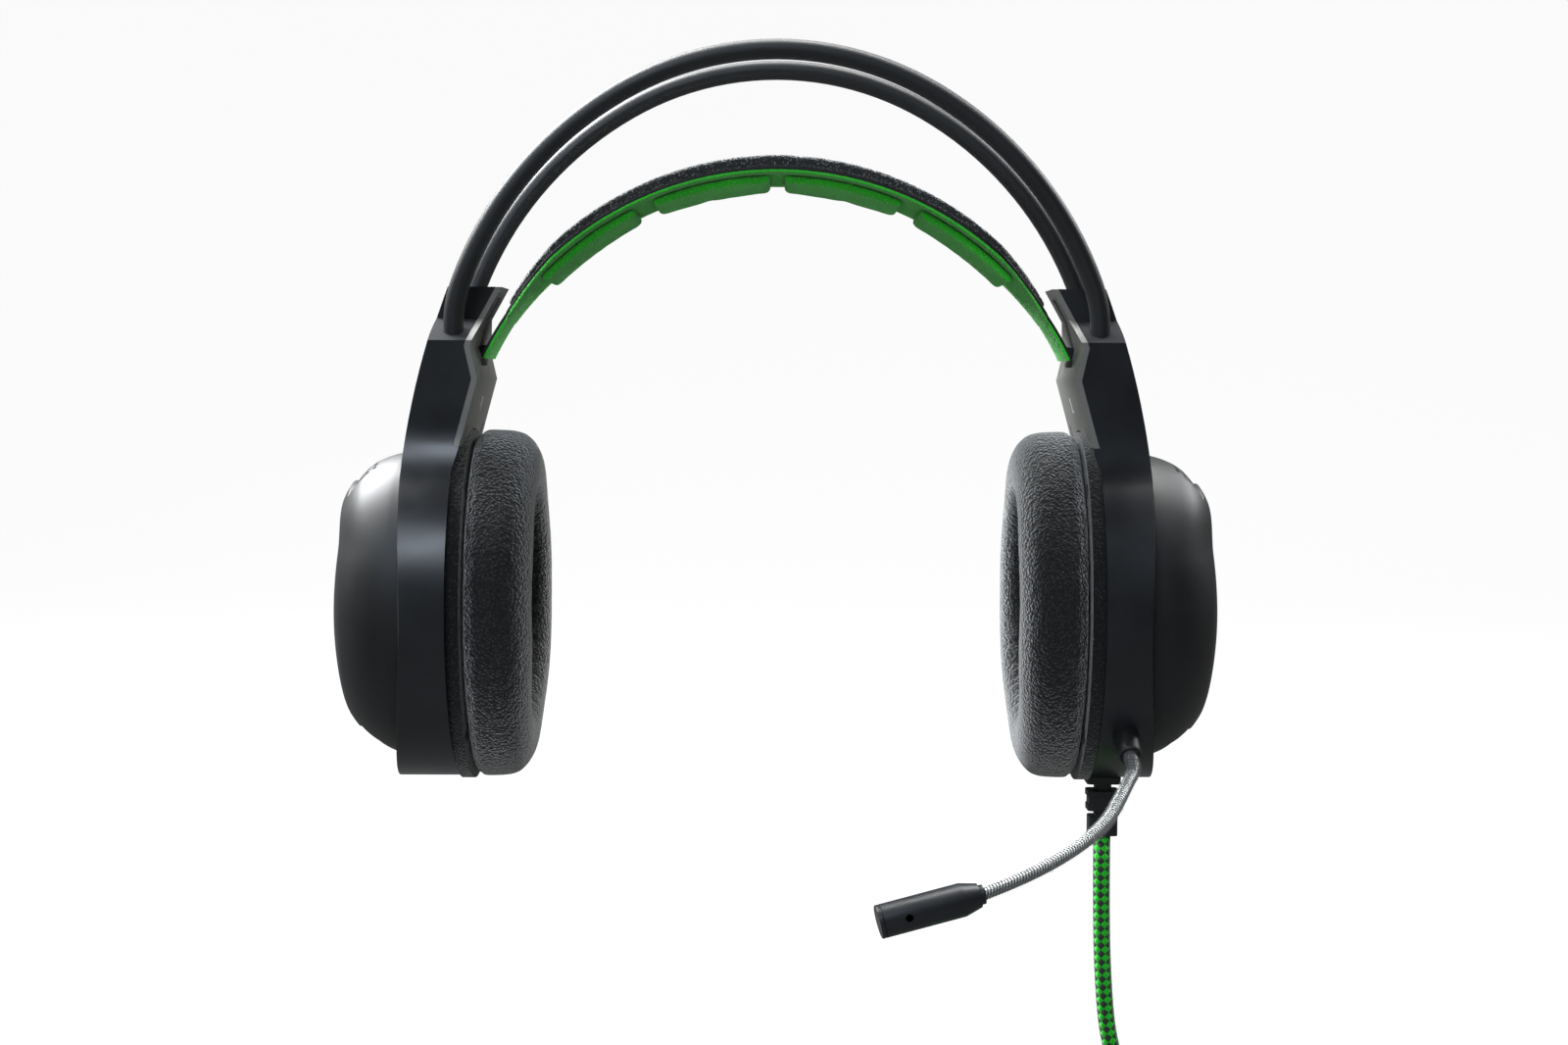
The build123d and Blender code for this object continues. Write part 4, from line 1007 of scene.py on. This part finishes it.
def coil_points():
    """Turns of the coil, six round one, entered at the tie and left at the outer side."""
    low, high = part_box("cable_coil")
    middle = (low + high) / 2
    step = sizes().cord
    berths = [(step, 0.0)]
    for turn in (60, 120, 180, 240):
        berths.append((step * cos(radians(turn)), step * sin(radians(turn))))
    berths += [(0.0, 0.0), (step * cos(radians(300)), step * sin(radians(300)))]
    total = COIL_TURNS * 360.0 - (360.0 - COIL_ENTRY)
    count = int(COIL_STEPS * total / 360.0)
    points = []
    for index in range(count + 1):
        travelled = total * index / count
        turn = min(int(travelled / 360.0), COIL_TURNS - 1)
        into = travelled / 360.0 - turn
        ease = min(1.0, max(0.0, (into - 0.86) / 0.14))
        ease = ease * ease * (3 - 2 * ease)
        here, after = berths[turn], berths[min(turn + 1, COIL_TURNS - 1)]
        out = here[0] + (after[0] - here[0]) * ease
        aside = here[1] + (after[1] - here[1]) * ease
        angle = radians(COIL_ENTRY - travelled)
        radius = COIL_RADIUS + out
        points.append((middle.x + radius * cos(angle), aside, middle.z + radius * sin(angle)))
    return points


class HEADSET_OT_cord(bpy.types.Operator):
    """Make the strain relief, the braided cord with its coil, and the plug"""

    bl_idname = "headset.cord"
    bl_label = "Cord"

    def execute(self, context):
        rubber = plastic("relief_rubber", (0.009, 0.0095, 0.010), 0.44, relief=0.00001)
        black = plastic("plug_plastic", (0.01, 0.01, 0.01), 0.4)
        gold = metal("plug_gold", (0.83, 0.62, 0.28), 0.2)
        tie = fabric("tie_fabric", (0.01, 0.01, 0.01), (0.05, 0.05, 0.05), 1800.0, 0.0002, sheen=0.3)
        moulded_copy("strain_relief", "cord_relief", rubber, 0.0005)
        control = CORD_ROUTE + CORD_LANDING + coil_points() + CORD_TAIL
        line = nurbs_points("cord_line", control, 5)
        cord = tube_mesh("cord", line, sizes().cord / 2, 20, sizes().braid)
        dress(cord, cord_material())
        plug = moulded_copy("plug_shell", "plug", black, 0.0003)
        contacts = moulded_copy("plug_contacts", "plug_pin", gold)
        strap = moulded_copy("coil_tie", "cord_tie", tie, 0.0002)
        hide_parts("cable", "cable_coil", "cable_tail")
        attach(cord, "headset")
        return {"FINISHED"}


# ---- Stage ----
class HEADSET_OT_stage(bpy.types.Operator):
    """Make the floor, the lights and the camera"""

    bl_idname = "headset.stage"
    bl_label = "Stage"

    def execute(self, context):
        scene = context.scene
        scene.view_settings.view_transform = "Standard"
        self.floor()
        self.lights(scene)
        self.camera(scene)
        return {"FINISHED"}

    def floor(self):
        low = min(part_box(name)[0].z for name in ("plug_contacts", "cable_coil"))
        level = low - 0.002
        points, faces = [], []
        bend = [(-2.5, 0.0), (2.2, 0.0)]
        bend += [(2.2 + 1.2 * sin(radians(a)), 1.2 - 1.2 * cos(radians(a))) for a in range(10, 91, 10)]
        bend.append((3.4, 4.5))
        for y, z in bend:
            points += [(-6.0, y, level + z), (6.0, y, level + z)]
        for step in range(len(bend) - 1):
            faces.append((2 * step, 2 * step + 1, 2 * step + 3, 2 * step + 2))
        obj = mesh_object("floor", points, faces)
        material, tree, shader = blank("floor_paper", Roughness=0.9, Specular_IOR_Level=0.1)
        shader.inputs["Base Color"].default_value = (0.05, 0.05, 0.05, 1)
        shader.inputs["Emission Color"].default_value = (1, 1, 1, 1)
        seen = tree.add("ShaderNodeLightPath").outputs["Is Camera Ray"]
        tree.join(tree.span(seen, 0, 1, 0.04, 0.95), shader.inputs["Emission Strength"])
        dress(obj, material)

    def lights(self, scene):
        world = bpy.data.worlds.new("studio")
        world.use_nodes = True
        world.node_tree.nodes["Background"].inputs["Color"].default_value = (1, 1, 1, 1)
        world.node_tree.nodes["Background"].inputs["Strength"].default_value = 0.06
        scene.world = world
        for name, place, aim, size, power, tint in LIGHTS:
            light = bpy.data.lights.new(name, "AREA")
            light.shape = "RECTANGLE"
            light.size, light.size_y = size
            light.energy = power
            light.color = tint
            obj = bpy.data.objects.new(name, light)
            obj.visible_glossy = name != "fill"
            scene.collection.objects.link(obj)
            place, aim = Vector(place), Vector(aim)
            facing = (place - aim).to_track_quat("Z", "Y").to_matrix().to_4x4()
            obj.matrix_world = Matrix.Translation(place) @ facing

    def camera(self, scene):
        data = bpy.data.cameras.new("camera")
        data.lens, data.sensor_width = 50.0, 36.0
        data.clip_start, data.clip_end = 0.01, 50.0
        obj = bpy.data.objects.new("camera", data)
        scene.collection.objects.link(obj)
        turn = (Matrix.Rotation(-radians(CAMERA_YAW), 4, "Z")
                @ Matrix.Rotation(pi / 2 - radians(CAMERA_PITCH), 4, "X")
                @ Matrix.Rotation(radians(CAMERA_ROLL), 4, "Z"))
        obj.matrix_world = Matrix.Translation(CAMERA_PLACE) @ turn
        scene.camera = obj


class HEADSET_PT_panel(bpy.types.Panel):
    """Lists the steps that build the headset"""

    bl_idname = "HEADSET_PT_panel"
    bl_label = "Headset"
    bl_space_type = "VIEW_3D"
    bl_region_type = "UI"
    bl_category = "Headset"

    def draw(self, context):
        for operator in OPERATORS:
            self.layout.operator(operator.bl_idname)


OPERATORS = (HEADSET_OT_tubes, HEADSET_OT_housings, HEADSET_OT_domes, HEADSET_OT_cushions, HEADSET_OT_pad,
             HEADSET_OT_microphone, HEADSET_OT_cord, HEADSET_OT_stage)
CLASSES = (HeadsetColours, HeadsetSizes, *OPERATORS, HEADSET_PT_panel)


def register():
    for item in CLASSES:
        bpy.utils.register_class(item)
    bpy.types.Scene.headset_colours = bpy.props.PointerProperty(type=HeadsetColours)
    bpy.types.Scene.headset_sizes = bpy.props.PointerProperty(type=HeadsetSizes)


def unregister():
    del bpy.types.Scene.headset_sizes
    del bpy.types.Scene.headset_colours
    for item in reversed(CLASSES):
        bpy.utils.unregister_class(item)


def main():
    register()
    for operator in OPERATORS:
        family, name = operator.bl_idname.split(".")
        getattr(getattr(bpy.ops, family), name)()


if __name__ == "__main__":
    main()
